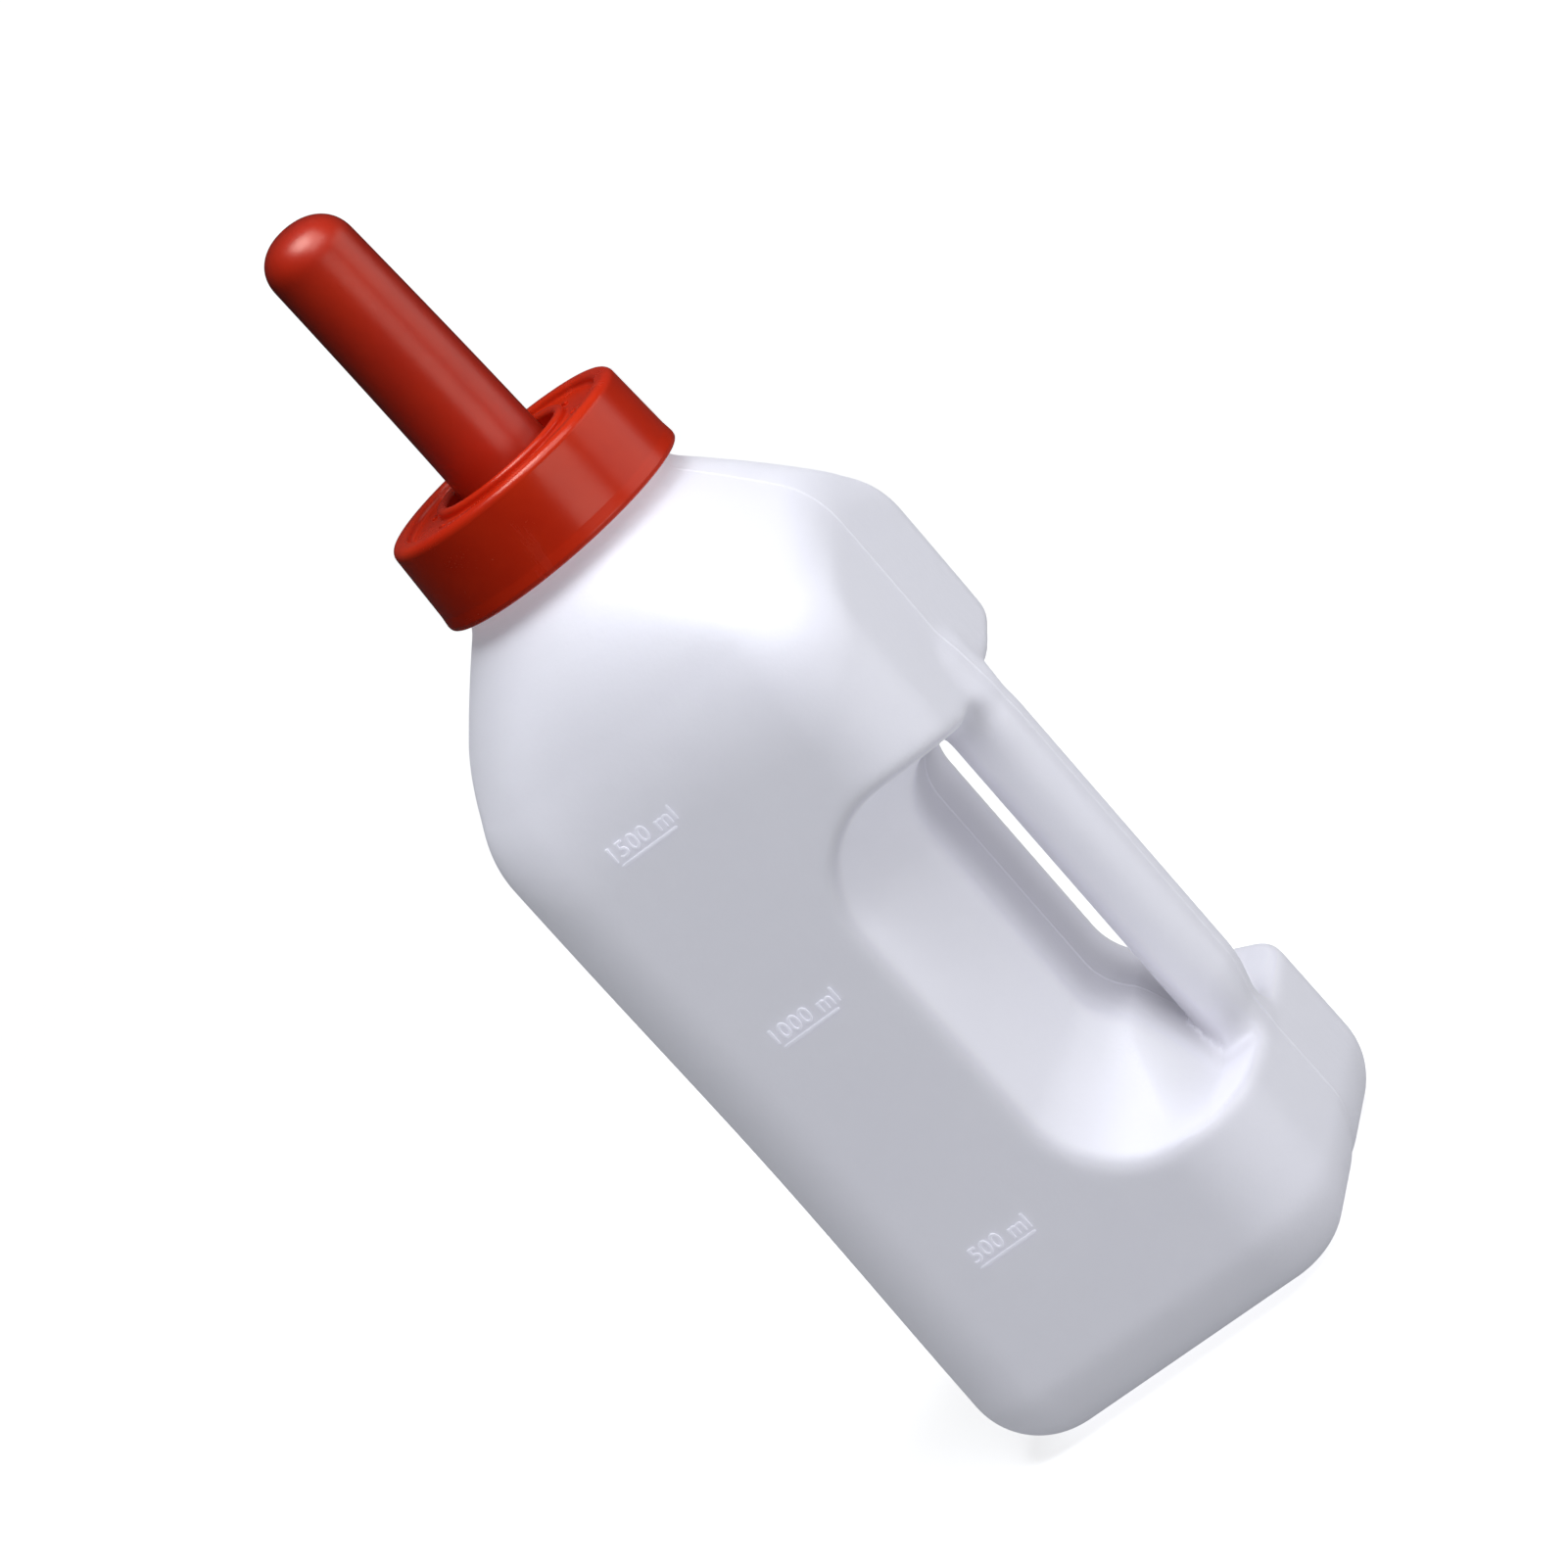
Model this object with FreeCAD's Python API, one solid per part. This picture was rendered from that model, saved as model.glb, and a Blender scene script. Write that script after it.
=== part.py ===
"""Calf feeding bottle: a blow-moulded bottle with an integral handle, a screw collar, a rubber
teat and a drop-in valve.  Millimetres, +Z up.  The origin is the middle of the face the bottle
stands on, +X points to the handle, and the level marks are on the -Y face."""

import FreeCAD, Part
import math
import os

V = FreeCAD.Vector
UP = V(0, 0, 1)
PAST = 1.0               # how far a cutter runs past the face it opens
FLAT = 0.01              # height difference below which an edge counts as level

# Bottle, outside
HALF_WIDTH = 53.0        # to the walls that face -X and +X
HALF_DEPTH = 54.0        # to the walls that face -Y and +Y
CORNER_R = 22.0          # upright corners
BASE_EDGE_R = 17.0       # edge round the base
WALL = 1.6
SHOULDER_END = 237.0     # height at which the cone of the shoulder meets the neck
SHOULDER_SLOPE = 0.89    # radius gained for each millimetre down the cone
SHOULDER_CUTTER_R = 100.0 # radius at the foot of the cone, past the corners of the walls
SHOULDER_EDGE_R = 10.0   # edge between the cone and the upright walls

# Hand recess, window and handle
RECESS_LEFT_AT_FACE = 11.3
RECESS_BOTTOM_AT_FACE = 48.4
RECESS_TOP_AT_FACE = 158.0
RECESS_CORNER_AT_FACE = 26.0
RECESS_BOTTOM_DEEP = 66.0
RECESS_FOOT_DEEP = 34.0  # the same floor carried on out to PAST_HANDLE, lower at the handle
RECESS_TOP_DEEP = 151.0
WAIST_HALF_DEPTH = 21.5  # half the thickness of the wall that the fingers close against
WAIST_X = 26.5
WAIST_CORNER = 13.0
RECESS_OVERSHOOT = 0.2   # how far the recess cutter starts outside the face
PAST_HANDLE = 75.0       # cutters run on to here, beyond the handle
HANDLE_INSIDE = 40.3
HANDLE_OUTSIDE = 57.0
HANDLE_HALF_DEPTH = 11.0
HANDLE_CORNER_R = 7.5
HANDLE_STATIONS = (      # height, inner face moved in, outer face drawn back, widened each side
    (38.4, 5.0, 5.0, 6.0),
    (60.0, 1.2, 0.6, 1.5),
    (75.0, 0.0, 0.0, 0.0),
    (135.0, 0.0, 0.0, 0.0),
    (151.0, 1.2, 0.9, 1.5),
    (172.0, 5.0, 5.0, 6.0),
)

# Neck and its thread
NECK_R = 29.9
NECK_BORE_R = 26.4
NECK_TOP = 251.5
THREAD_PITCH = 5.0
THREAD_DEPTH = 1.4
THREAD_ROOT_WIDTH = 2.2
THREAD_CREST_WIDTH = 1.0
NECK_THREAD_TURNS = 1.5
COLLAR_THREAD_TURNS = 1.0
NECK_THREAD_START = 241.4
THREAD_SINK = 0.4        # how far a thread ridge is rooted in its wall

# Valve stack on the neck
RING_THICKNESS = 1.5
RING_OUTER_R = 29.0
RING_INNER_R = 24.6
PLATE_R = 28.6
PLATE_THICKNESS = 2.0
SEAT_R = 4.0
BALL_R = 5.5
BALL_TRAVEL = 3.0
SEAT_FUNNEL = 1.2
CAGE_INNER_R = 6.4
CAGE_OUTER_R = 7.6
CAGE_FOOT_R = 9.6
CAGE_FOOT_HEIGHT = 1.0
CAGE_TOP = 1.4
CAGE_TOP_HOLE_R = 4.6
CAGE_BAR = 1.6
CAGE_WINDOWS = 4
CAGE_WINDOW_WIDTH = 5.0
VENT_FROM_AXIS = 17.0
VENT_STEM_R = 1.1
VENT_KNOB_R = 1.6
VENT_KNOB_HEIGHT = 0.8
VENT_HEAD_R = 3.6
VENT_HEAD_THICKNESS = 1.0
VENT_HEAD_RIM = 0.4
VENT_TRAVEL = 0.8
VENT_AIR_HOLES = 3
VENT_AIR_HOLE_R = 0.5
VENT_AIR_HOLE_CIRCLE = 2.3
VENT_POCKET_R = 2.9
VENT_POCKET_DEPTH = 2.2
VENT_AIR_WAY_R = 0.7
VENT_AIR_WAY_FROM_AXIS = 15.3
FIT = 0.05               # clearance between pieces that touch

# Teat
FLANGE_R = 28.4
FLANGE_THICKNESS = 3.2
TEAT_BASE_R = 12.9
TEAT_NECK_R = 12.2
TEAT_TOP = 336.0
TEAT_TIP_BLUNTNESS = 0.86
TEAT_DOME_POINTS = 6
TEAT_WALL = 2.4
TEAT_TIP_WALL = 2.8
TEAT_HOLE_R = 1.2
TEAT_ROOT_FLARE = 1.2
TEAT_ROOT_HEIGHT = 3.0

# Screw collar
COLLAR_BOTTOM = 240.4
COLLAR_TOP = 263.4
COLLAR_BORE_R = 31.7
COLLAR_R_LOW = 34.4
COLLAR_R_HIGH = 33.7
COLLAR_BEAD = 0.5
COLLAR_BEAD_HEIGHT = 3.0
COLLAR_BEAD_FULLNESS = 0.7
COLLAR_BEAD_RISE = 0.4   # the bead's middle point lies this far above half its height
COLLAR_PLATE = 2.7
COLLAR_RIM_WIDTH = 3.2
COLLAR_RIM_DRAFT = 0.4
COLLAR_EDGE_R = 1.6
LIP_INNER_R = 16.6
LIP_OUTER_R = 19.2
LIP_HEIGHT = 2.2

# Level marks: height of each line above the table, for 500, 1000 and 1500 ml
MARK_HEIGHTS = (51.0, 122.0, 179.5)
MARK_LENGTH = 16.8
MARK_MIDDLE_X = -13.2
MARK_THICKNESS = 0.8
MARK_PROUD = 0.3

# Heights that follow from the stack
RING_TOP = NECK_TOP + RING_THICKNESS
PLATE_BOTTOM = RING_TOP + FIT
PLATE_TOP = PLATE_BOTTOM + PLATE_THICKNESS
BALL_Z = PLATE_TOP - SEAT_FUNNEL + math.sqrt(BALL_R * BALL_R - SEAT_R * SEAT_R) + FIT
FLANGE_BOTTOM = PLATE_TOP + FIT
FLANGE_TOP = FLANGE_BOTTOM + FLANGE_THICKNESS
COLLAR_PLATE_BOTTOM = FLANGE_TOP + FIT
COLLAR_PLATE_TOP = COLLAR_PLATE_BOTTOM + COLLAR_PLATE


def arc(a, middle, b):
    return Part.Arc(a, middle, b).toShape()


def line(a, b):
    return Part.makeLine(a, b)


def rounded_box_wire(x0, x1, y0, y1, r, z):
    """Rectangle with round corners, lying flat at height z."""
    k = r * (1 - math.sqrt(0.5))
    corners = [
        (V(x1, y1 - r, z), V(x1 - k, y1 - k, z), V(x1 - r, y1, z)),
        (V(x0 + r, y1, z), V(x0 + k, y1 - k, z), V(x0, y1 - r, z)),
        (V(x0, y0 + r, z), V(x0 + k, y0 + k, z), V(x0 + r, y0, z)),
        (V(x1 - r, y0, z), V(x1 - k, y0 + k, z), V(x1, y0 + r, z)),
    ]
    edges = []
    for i, (start, middle, end) in enumerate(corners):
        edges.append(arc(start, middle, end))
        edges.append(line(end, corners[(i + 1) % 4][0]))
    return Part.Wire(edges)


def centred_wire(half_x, half_y, r, z):
    return rounded_box_wire(-half_x, half_x, -half_y, half_y, r, z)


def shoulder_cone(inset):
    """Everything below the cone of the shoulder, wide enough to clear the corners lower down."""
    neck = NECK_R - inset * math.hypot(1, SHOULDER_SLOPE)
    cone_foot = SHOULDER_END - (SHOULDER_CUTTER_R - neck) / SHOULDER_SLOPE
    outline = Part.makePolygon(
        [
            V(0, 0, -PAST),
            V(SHOULDER_CUTTER_R, 0, -PAST),
            V(SHOULDER_CUTTER_R, 0, cone_foot),
            V(neck, 0, SHOULDER_END),
            V(0, 0, SHOULDER_END),
            V(0, 0, -PAST),
        ]
    )
    return Part.Face(outline).revolve(V(0, 0, 0), UP, 360)


def walls_and_shoulder(inset):
    """The bottle below its neck, before the recess is taken out of it."""
    foot = centred_wire(HALF_WIDTH - inset, HALF_DEPTH - inset, CORNER_R - inset, inset)
    walls = Part.Face(foot).extrude(V(0, 0, SHOULDER_END - inset + PAST))
    low = [e for e in walls.Edges if e.BoundBox.ZMax < inset + FLAT]
    walls = walls.makeFillet(BASE_EDGE_R - inset, low)
    form = walls.common(shoulder_cone(inset))
    arches = [e for e in form.Edges if is_arch(e)]
    return form.makeFillet(SHOULDER_EDGE_R - inset, arches)


def is_arch(edge):
    """True for the edges where the cone of the shoulder cuts the upright walls."""
    box = edge.BoundBox
    below_neck = box.ZMax < SHOULDER_END - 2 * PAST
    above_base = box.ZMin > SHOULDER_END - SHOULDER_CUTTER_R / 2
    level = box.ZMax - box.ZMin < FLAT
    upright = box.ZMax - box.ZMin > HALF_WIDTH
    return below_neck and above_base and not upright and not level


def recess_wire(left, bottom, foot, top, r, y):
    """Outline of the hand recess at one depth: round on the left, open past the handle."""
    k = r * (1 - math.sqrt(0.5))
    right = PAST_HANDLE
    return Part.Wire(
        [
            line(V(right, y, foot), V(left + r, y, bottom)),
            arc(V(left + r, y, bottom), V(left + k, y, bottom + k), V(left, y, bottom + r)),
            line(V(left, y, bottom + r), V(left, y, top - r)),
            arc(V(left, y, top - r), V(left + k, y, top - k), V(left + r, y, top)),
            line(V(left + r, y, top), V(right, y, top)),
            line(V(right, y, top), V(right, y, foot)),
        ]
    )


def scoop(side, inset):
    """Hand recess in one face; side is -1 for the -Y face and 1 for the +Y face."""
    slope = (WAIST_X - RECESS_LEFT_AT_FACE) / (HALF_DEPTH - WAIST_HALF_DEPTH)
    outer = recess_wire(
        RECESS_LEFT_AT_FACE - inset - RECESS_OVERSHOOT * slope,
        RECESS_BOTTOM_AT_FACE - inset,
        RECESS_BOTTOM_AT_FACE - inset,
        RECESS_TOP_AT_FACE + inset,
        RECESS_CORNER_AT_FACE,
        side * (HALF_DEPTH + RECESS_OVERSHOOT),
    )
    deep = recess_wire(
        WAIST_X - inset,
        RECESS_BOTTOM_DEEP - inset,
        RECESS_FOOT_DEEP - inset,
        RECESS_TOP_DEEP + inset,
        WAIST_CORNER,
        side * (WAIST_HALF_DEPTH - inset),
    )
    return Part.makeLoft([outer, deep], True, True)


def window(inset):
    """Opening between the waist and the handle."""
    half = WAIST_HALF_DEPTH - inset
    outline = recess_wire(
        WAIST_X - inset,
        RECESS_BOTTOM_DEEP - inset,
        RECESS_FOOT_DEEP - inset,
        RECESS_TOP_DEEP + inset,
        WAIST_CORNER,
        -half,
    )
    return Part.Face(outline).extrude(V(0, 2 * half, 0))


def handle(inset):
    """Upright grip, spreading where it runs into the bottle above and below."""
    wires = []
    for z, inward, outer_drop, spread in HANDLE_STATIONS:
        half = HANDLE_HALF_DEPTH + spread - inset
        wires.append(
            rounded_box_wire(
                HANDLE_INSIDE - inward + inset,
                HANDLE_OUTSIDE - outer_drop - inset,
                -half,
                half,
                HANDLE_CORNER_R - inset,
                z,
            )
        )
    return Part.makeLoft(wires, True, False)


def bottle_form(inset):
    """The bottle below its neck: inset 0 gives the outside and WALL gives the cavity."""
    form = walls_and_shoulder(inset)
    form = form.cut([scoop(-1, inset), scoop(1, inset), window(inset)])
    return form.fuse(handle(inset))


def thread_ridge(surface_r, direction, start_z, turns):
    """Helical ridge standing out (direction 1) or in (direction -1) from a round wall."""
    root = surface_r - direction * THREAD_SINK
    crest = surface_r + direction * THREAD_DEPTH
    half_root = THREAD_ROOT_WIDTH / 2
    half_crest = THREAD_CREST_WIDTH / 2
    profile = Part.makePolygon(
        [
            V(root, 0, start_z - half_root),
            V(crest, 0, start_z - half_crest),
            V(crest, 0, start_z + half_crest),
            V(root, 0, start_z + half_root),
            V(root, 0, start_z - half_root),
        ]
    )
    spine = Part.makeHelix(THREAD_PITCH, THREAD_PITCH * turns, surface_r)
    spine.translate(V(0, 0, start_z))
    return Part.Wire(spine).makePipeShell([profile], True, True)


def level_mark(z):
    corner = V(MARK_MIDDLE_X - MARK_LENGTH / 2, -HALF_DEPTH - MARK_PROUD, z - MARK_THICKNESS / 2)
    return Part.makeBox(MARK_LENGTH, MARK_PROUD + WALL / 2, MARK_THICKNESS, corner)


def cavity():
    """The space that holds the milk, open at the mouth."""
    inside = bottle_form(WALL)
    low = SHOULDER_END - 2 * PAST
    throat = Part.makeCylinder(NECK_BORE_R, NECK_TOP + PAST - low, V(0, 0, low), UP)
    return inside.fuse(throat)


def bottle_body():
    low = SHOULDER_END - PAST
    neck = Part.makeCylinder(NECK_R, NECK_TOP - low, V(0, 0, low), UP)
    thread = thread_ridge(NECK_R, 1, NECK_THREAD_START, NECK_THREAD_TURNS)
    outside = bottle_form(0.0).fuse([neck, thread])
    outside = outside.fuse([level_mark(z) for z in MARK_HEIGHTS])
    return outside.cut(cavity()).removeSplitter()


def seal_ring():
    ring = Part.makeCylinder(RING_OUTER_R, RING_THICKNESS - FIT, V(0, 0, NECK_TOP + FIT), UP)
    through = RING_THICKNESS + 2 * PAST
    return ring.cut(Part.makeCylinder(RING_INNER_R, through, V(0, 0, NECK_TOP - PAST), UP))


def vent_hole_places():
    """Centres of the small air holes round the stem of the vent."""
    places = []
    for i in range(VENT_AIR_HOLES):
        turn = 2 * math.pi * i / VENT_AIR_HOLES
        x = -VENT_FROM_AXIS + VENT_AIR_HOLE_CIRCLE * math.cos(turn)
        places.append(V(x, VENT_AIR_HOLE_CIRCLE * math.sin(turn), PLATE_BOTTOM - PAST))
    return places


def valve_plate():
    disc = Part.makeCylinder(PLATE_R, PLATE_THICKNESS, V(0, 0, PLATE_BOTTOM), UP)
    through = PLATE_THICKNESS + 2 * PAST
    low = PLATE_BOTTOM - PAST
    seat = Part.makeCylinder(SEAT_R, through, V(0, 0, low), UP)
    funnel = Part.makeCone(
        SEAT_R, SEAT_R + SEAT_FUNNEL, SEAT_FUNNEL, V(0, 0, PLATE_TOP - SEAT_FUNNEL), UP
    )
    stem_hole = Part.makeCylinder(VENT_STEM_R + FIT, through, V(-VENT_FROM_AXIS, 0, low), UP)
    air = [Part.makeCylinder(VENT_AIR_HOLE_R, through, at, UP) for at in vent_hole_places()]
    return disc.cut([seat, funnel, stem_hole] + air)


def ball_cage():
    """Short tube with side windows and a cross bar that stops the ball."""
    foot_z = PLATE_TOP + FIT
    stop_z = BALL_Z + BALL_R + BALL_TRAVEL + FIT
    height = stop_z + CAGE_TOP - foot_z
    tube = Part.makeCylinder(CAGE_OUTER_R, height, V(0, 0, foot_z), UP)
    foot = Part.makeCylinder(CAGE_FOOT_R, CAGE_FOOT_HEIGHT, V(0, 0, foot_z), UP)
    bore = Part.makeCylinder(CAGE_INNER_R, stop_z - foot_z, V(0, 0, foot_z), UP)
    cage = tube.fuse(foot).cut(bore)
    opening_h = stop_z - foot_z - 2 * CAGE_FOOT_HEIGHT
    for i in range(CAGE_WINDOWS):
        opening = Part.makeBox(
            2 * CAGE_OUTER_R,
            CAGE_WINDOW_WIDTH,
            opening_h,
            V(0, -CAGE_WINDOW_WIDTH / 2, foot_z + 2 * CAGE_FOOT_HEIGHT),
        )
        opening.rotate(V(0, 0, 0), UP, 360 * i / CAGE_WINDOWS + 45)
        cage = cage.cut(opening)
    through = CAGE_TOP + 2 * PAST
    milk_way = Part.makeCylinder(CAGE_TOP_HOLE_R, through, V(0, 0, stop_z - PAST), UP)
    bar = Part.makeBox(
        2 * CAGE_INNER_R, CAGE_BAR, CAGE_TOP, V(-CAGE_INNER_R, -CAGE_BAR / 2, stop_z)
    )
    return cage.cut(milk_way).fuse(bar).removeSplitter()


def valve_ball():
    return Part.makeSphere(BALL_R, V(0, 0, BALL_Z))


def vent_valve():
    """Mushroom that hangs through the plate and lifts off its holes to let air in."""
    x = -VENT_FROM_AXIS
    head_top = PLATE_BOTTOM - FIT
    rim_z = head_top - VENT_HEAD_RIM
    dish = VENT_HEAD_THICKNESS - VENT_HEAD_RIM
    rim = Part.makeCylinder(VENT_HEAD_R, VENT_HEAD_RIM, V(x, 0, rim_z), UP)
    head = Part.makeCone(VENT_HEAD_R / 2, VENT_HEAD_R, dish, V(x, 0, rim_z - dish), UP)
    knob_z = PLATE_TOP + VENT_TRAVEL + FIT
    stem = Part.makeCylinder(VENT_STEM_R, knob_z - rim_z, V(x, 0, rim_z), UP)
    knob = Part.makeCone(VENT_KNOB_R, VENT_STEM_R, VENT_KNOB_HEIGHT, V(x, 0, knob_z), UP)
    return head.fuse([rim, stem, knob]).removeSplitter()


def teat_profile(inset, bottom, tip):
    """Half section of the teat's shaft: straight taper and a blunt dome."""
    base_r = TEAT_BASE_R - inset
    neck_r = TEAT_NECK_R - inset
    dome = neck_r * TEAT_TIP_BLUNTNESS
    spring = tip - dome
    points = []
    for i in range(TEAT_DOME_POINTS + 1):
        turn = math.pi / 2 * i / TEAT_DOME_POINTS
        points.append(V(neck_r * math.cos(turn), 0, spring + dome * math.sin(turn)))
    curve = Part.BSplineCurve()
    curve.interpolate(points)
    return Part.Wire(
        [
            line(V(0, 0, bottom), V(base_r, 0, bottom)),
            line(V(base_r, 0, bottom), points[0]),
            curve.toShape(),
            line(points[-1], V(0, 0, bottom)),
        ]
    )


def teat():
    flange = Part.makeCylinder(FLANGE_R, FLANGE_THICKNESS, V(0, 0, FLANGE_BOTTOM), UP)
    shaft = Part.Face(teat_profile(0.0, FLANGE_BOTTOM, TEAT_TOP)).revolve(V(0, 0, 0), UP, 360)
    low = FLANGE_BOTTOM - PAST
    root = Part.makeCone(
        TEAT_BASE_R + TEAT_ROOT_FLARE, TEAT_BASE_R, TEAT_ROOT_HEIGHT, V(0, 0, FLANGE_TOP), UP
    )
    bore = Part.Face(teat_profile(TEAT_WALL, low, TEAT_TOP - TEAT_TIP_WALL))
    bore = bore.revolve(V(0, 0, 0), UP, 360)
    tip_low = V(0, 0, TEAT_TOP - TEAT_TIP_WALL - PAST)
    tip_hole = Part.makeCylinder(TEAT_HOLE_R, TEAT_TIP_WALL + 2 * PAST, tip_low, UP)
    vent = V(-VENT_FROM_AXIS, 0, low)
    pocket = Part.makeCylinder(VENT_POCKET_R, VENT_POCKET_DEPTH + PAST, vent, UP)
    air = V(-VENT_AIR_WAY_FROM_AXIS, 0, low)
    air_way = Part.makeCylinder(VENT_AIR_WAY_R, FLANGE_THICKNESS + 2 * PAST, air, UP)
    return flange.fuse([shaft, root]).cut([bore, tip_hole, pocket, air_way]).removeSplitter()


def collar_section():
    """Half section of the collar in the XZ plane."""
    bead_r = COLLAR_R_LOW + COLLAR_BEAD
    bead_low = COLLAR_BOTTOM + COLLAR_BEAD
    bead_high = COLLAR_BOTTOM + COLLAR_BEAD_HEIGHT
    bead_mid = (bead_low + bead_high) / 2 + COLLAR_BEAD_RISE
    skirt_high = COLLAR_TOP - COLLAR_EDGE_R
    k = COLLAR_EDGE_R * (1 - math.sqrt(0.5))
    rim_in = COLLAR_R_HIGH - COLLAR_RIM_WIDTH
    rim_top_in = rim_in + COLLAR_RIM_DRAFT
    lip_top = COLLAR_PLATE_TOP + LIP_HEIGHT
    lip_mid = (LIP_INNER_R + LIP_OUTER_R) / 2
    lip_round = (LIP_OUTER_R - LIP_INNER_R) / 2

    def at(r, z):
        return V(r, 0, z)

    return Part.Wire(
        [
            line(at(COLLAR_BORE_R, COLLAR_BOTTOM), at(COLLAR_R_LOW, COLLAR_BOTTOM)),
            line(at(COLLAR_R_LOW, COLLAR_BOTTOM), at(bead_r, bead_low)),
            arc(
                at(bead_r, bead_low),
                at(COLLAR_R_LOW + COLLAR_BEAD * COLLAR_BEAD_FULLNESS, bead_mid),
                at(COLLAR_R_LOW, bead_high),
            ),
            line(at(COLLAR_R_LOW, bead_high), at(COLLAR_R_HIGH, skirt_high)),
            arc(
                at(COLLAR_R_HIGH, skirt_high),
                at(COLLAR_R_HIGH - k, COLLAR_TOP - k),
                at(COLLAR_R_HIGH - COLLAR_EDGE_R, COLLAR_TOP),
            ),
            line(at(COLLAR_R_HIGH - COLLAR_EDGE_R, COLLAR_TOP), at(rim_top_in, COLLAR_TOP)),
            line(at(rim_top_in, COLLAR_TOP), at(rim_in, COLLAR_PLATE_TOP)),
            line(at(rim_in, COLLAR_PLATE_TOP), at(LIP_OUTER_R, COLLAR_PLATE_TOP)),
            line(at(LIP_OUTER_R, COLLAR_PLATE_TOP), at(LIP_OUTER_R, lip_top - lip_round)),
            arc(
                at(LIP_OUTER_R, lip_top - lip_round),
                at(lip_mid, lip_top),
                at(LIP_INNER_R, lip_top - lip_round),
            ),
            line(at(LIP_INNER_R, lip_top - lip_round), at(LIP_INNER_R, COLLAR_PLATE_BOTTOM)),
            line(at(LIP_INNER_R, COLLAR_PLATE_BOTTOM), at(COLLAR_BORE_R, COLLAR_PLATE_BOTTOM)),
            line(at(COLLAR_BORE_R, COLLAR_PLATE_BOTTOM), at(COLLAR_BORE_R, COLLAR_BOTTOM)),
        ]
    )


def screw_collar():
    shell = Part.Face(collar_section()).revolve(V(0, 0, 0), UP, 360)
    start = NECK_THREAD_START + THREAD_PITCH / 2
    return shell.fuse(thread_ridge(COLLAR_BORE_R, -1, start, COLLAR_THREAD_TURNS))


NODES = {
    "bottle_body": bottle_body,
    "seal_ring": seal_ring,
    "valve_plate": valve_plate,
    "ball_cage": ball_cage,
    "valve_ball": valve_ball,
    "vent_valve": vent_valve,
    "teat": teat,
    "screw_collar": screw_collar,
}


def main():
    os.makedirs("parts", exist_ok=True)
    for name, build in NODES.items():
        build().exportStep(f"parts/{name}.step")


main()
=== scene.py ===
"""Calf feeding bottle: the looks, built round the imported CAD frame.

Shapes are worked out in millimetres and written to the meshes in metres.  The bottle is the zero
surface of a distance function, meshed on a grid; the collar and the teat are lathed sections."""

import math

import bmesh
import bpy
import numpy as np
from mathutils import Matrix, Vector


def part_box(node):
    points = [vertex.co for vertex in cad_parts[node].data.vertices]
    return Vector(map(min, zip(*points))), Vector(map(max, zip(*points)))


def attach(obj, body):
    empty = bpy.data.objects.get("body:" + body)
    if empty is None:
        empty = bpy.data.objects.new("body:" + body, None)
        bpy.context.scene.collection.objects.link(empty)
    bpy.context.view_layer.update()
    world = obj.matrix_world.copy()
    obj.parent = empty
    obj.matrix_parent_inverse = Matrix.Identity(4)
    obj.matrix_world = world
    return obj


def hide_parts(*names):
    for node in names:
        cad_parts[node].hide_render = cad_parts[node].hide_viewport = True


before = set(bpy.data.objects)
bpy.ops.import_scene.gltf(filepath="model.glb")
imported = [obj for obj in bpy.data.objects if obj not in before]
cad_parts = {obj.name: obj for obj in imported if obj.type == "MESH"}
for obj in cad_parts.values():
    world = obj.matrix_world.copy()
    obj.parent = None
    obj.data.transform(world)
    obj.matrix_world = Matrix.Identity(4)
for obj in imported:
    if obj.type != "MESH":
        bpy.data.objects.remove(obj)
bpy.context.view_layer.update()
MM = 0.001


def box_mm(node):
    low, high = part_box(node)
    return np.array(low) / MM, np.array(high) / MM


BODY_LOW, BODY_HIGH = box_mm("bottle_body")
COLLAR_LOW, COLLAR_HIGH = box_mm("screw_collar")
TEAT_LOW, TEAT_HIGH = box_mm("teat")
VENT_LOW, VENT_HIGH = box_mm("vent_valve")

# Bottle, outside, in millimetres
HALF_WIDTH = -BODY_LOW[0]
HALF_DEPTH = BODY_HIGH[1]
NECK_TOP = BODY_HIGH[2]
HANDLE_OUTSIDE = BODY_HIGH[0]
CORNER_R = 22.0
BASE_EDGE_R = 19.5
WALL = 1.6
NECK_R = 29.9
NECK_BORE_R = 26.4
NECK_LIP_ROUND = 0.8
SHOULDER_END = 237.4     # height at which the cone of the shoulder would meet the neck
SHOULDER_SLOPE = 0.89    # radius gained for each millimetre down the shoulder
SHOULDER_HEIGHT = 34.0
SHOULDER_BULGE = 1.0     # how much the cone swells halfway down
SHOULDER_LEAN = 0.75     # makes the radial distance to the cone a true one
SHOULDER_LEAN_ENDS = (SHOULDER_END - 4, SHOULDER_END + 3)
SHOULDER_BLEND_SIDE = 6.0
SHOULDER_BLEND_FACE = 20.0
SHOULDER_BLEND_TURN = (0.6, 1.0)    # share of Y in the way out, from side blend to face blend
NECK_FILLET = 3.0
FACE_PROUD = 0.85
PANEL_SINK = 0.9
PANEL_SINK_MIDDLE = 96.0
PANEL_SINK_REACH = 70.0
PANEL_SINK_FALL = 1.6
CAVITY_EDGE_ROUND = 1.0
THROAT_DEPTH = 18.0
THROAT_BLEND = 1.5

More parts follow.
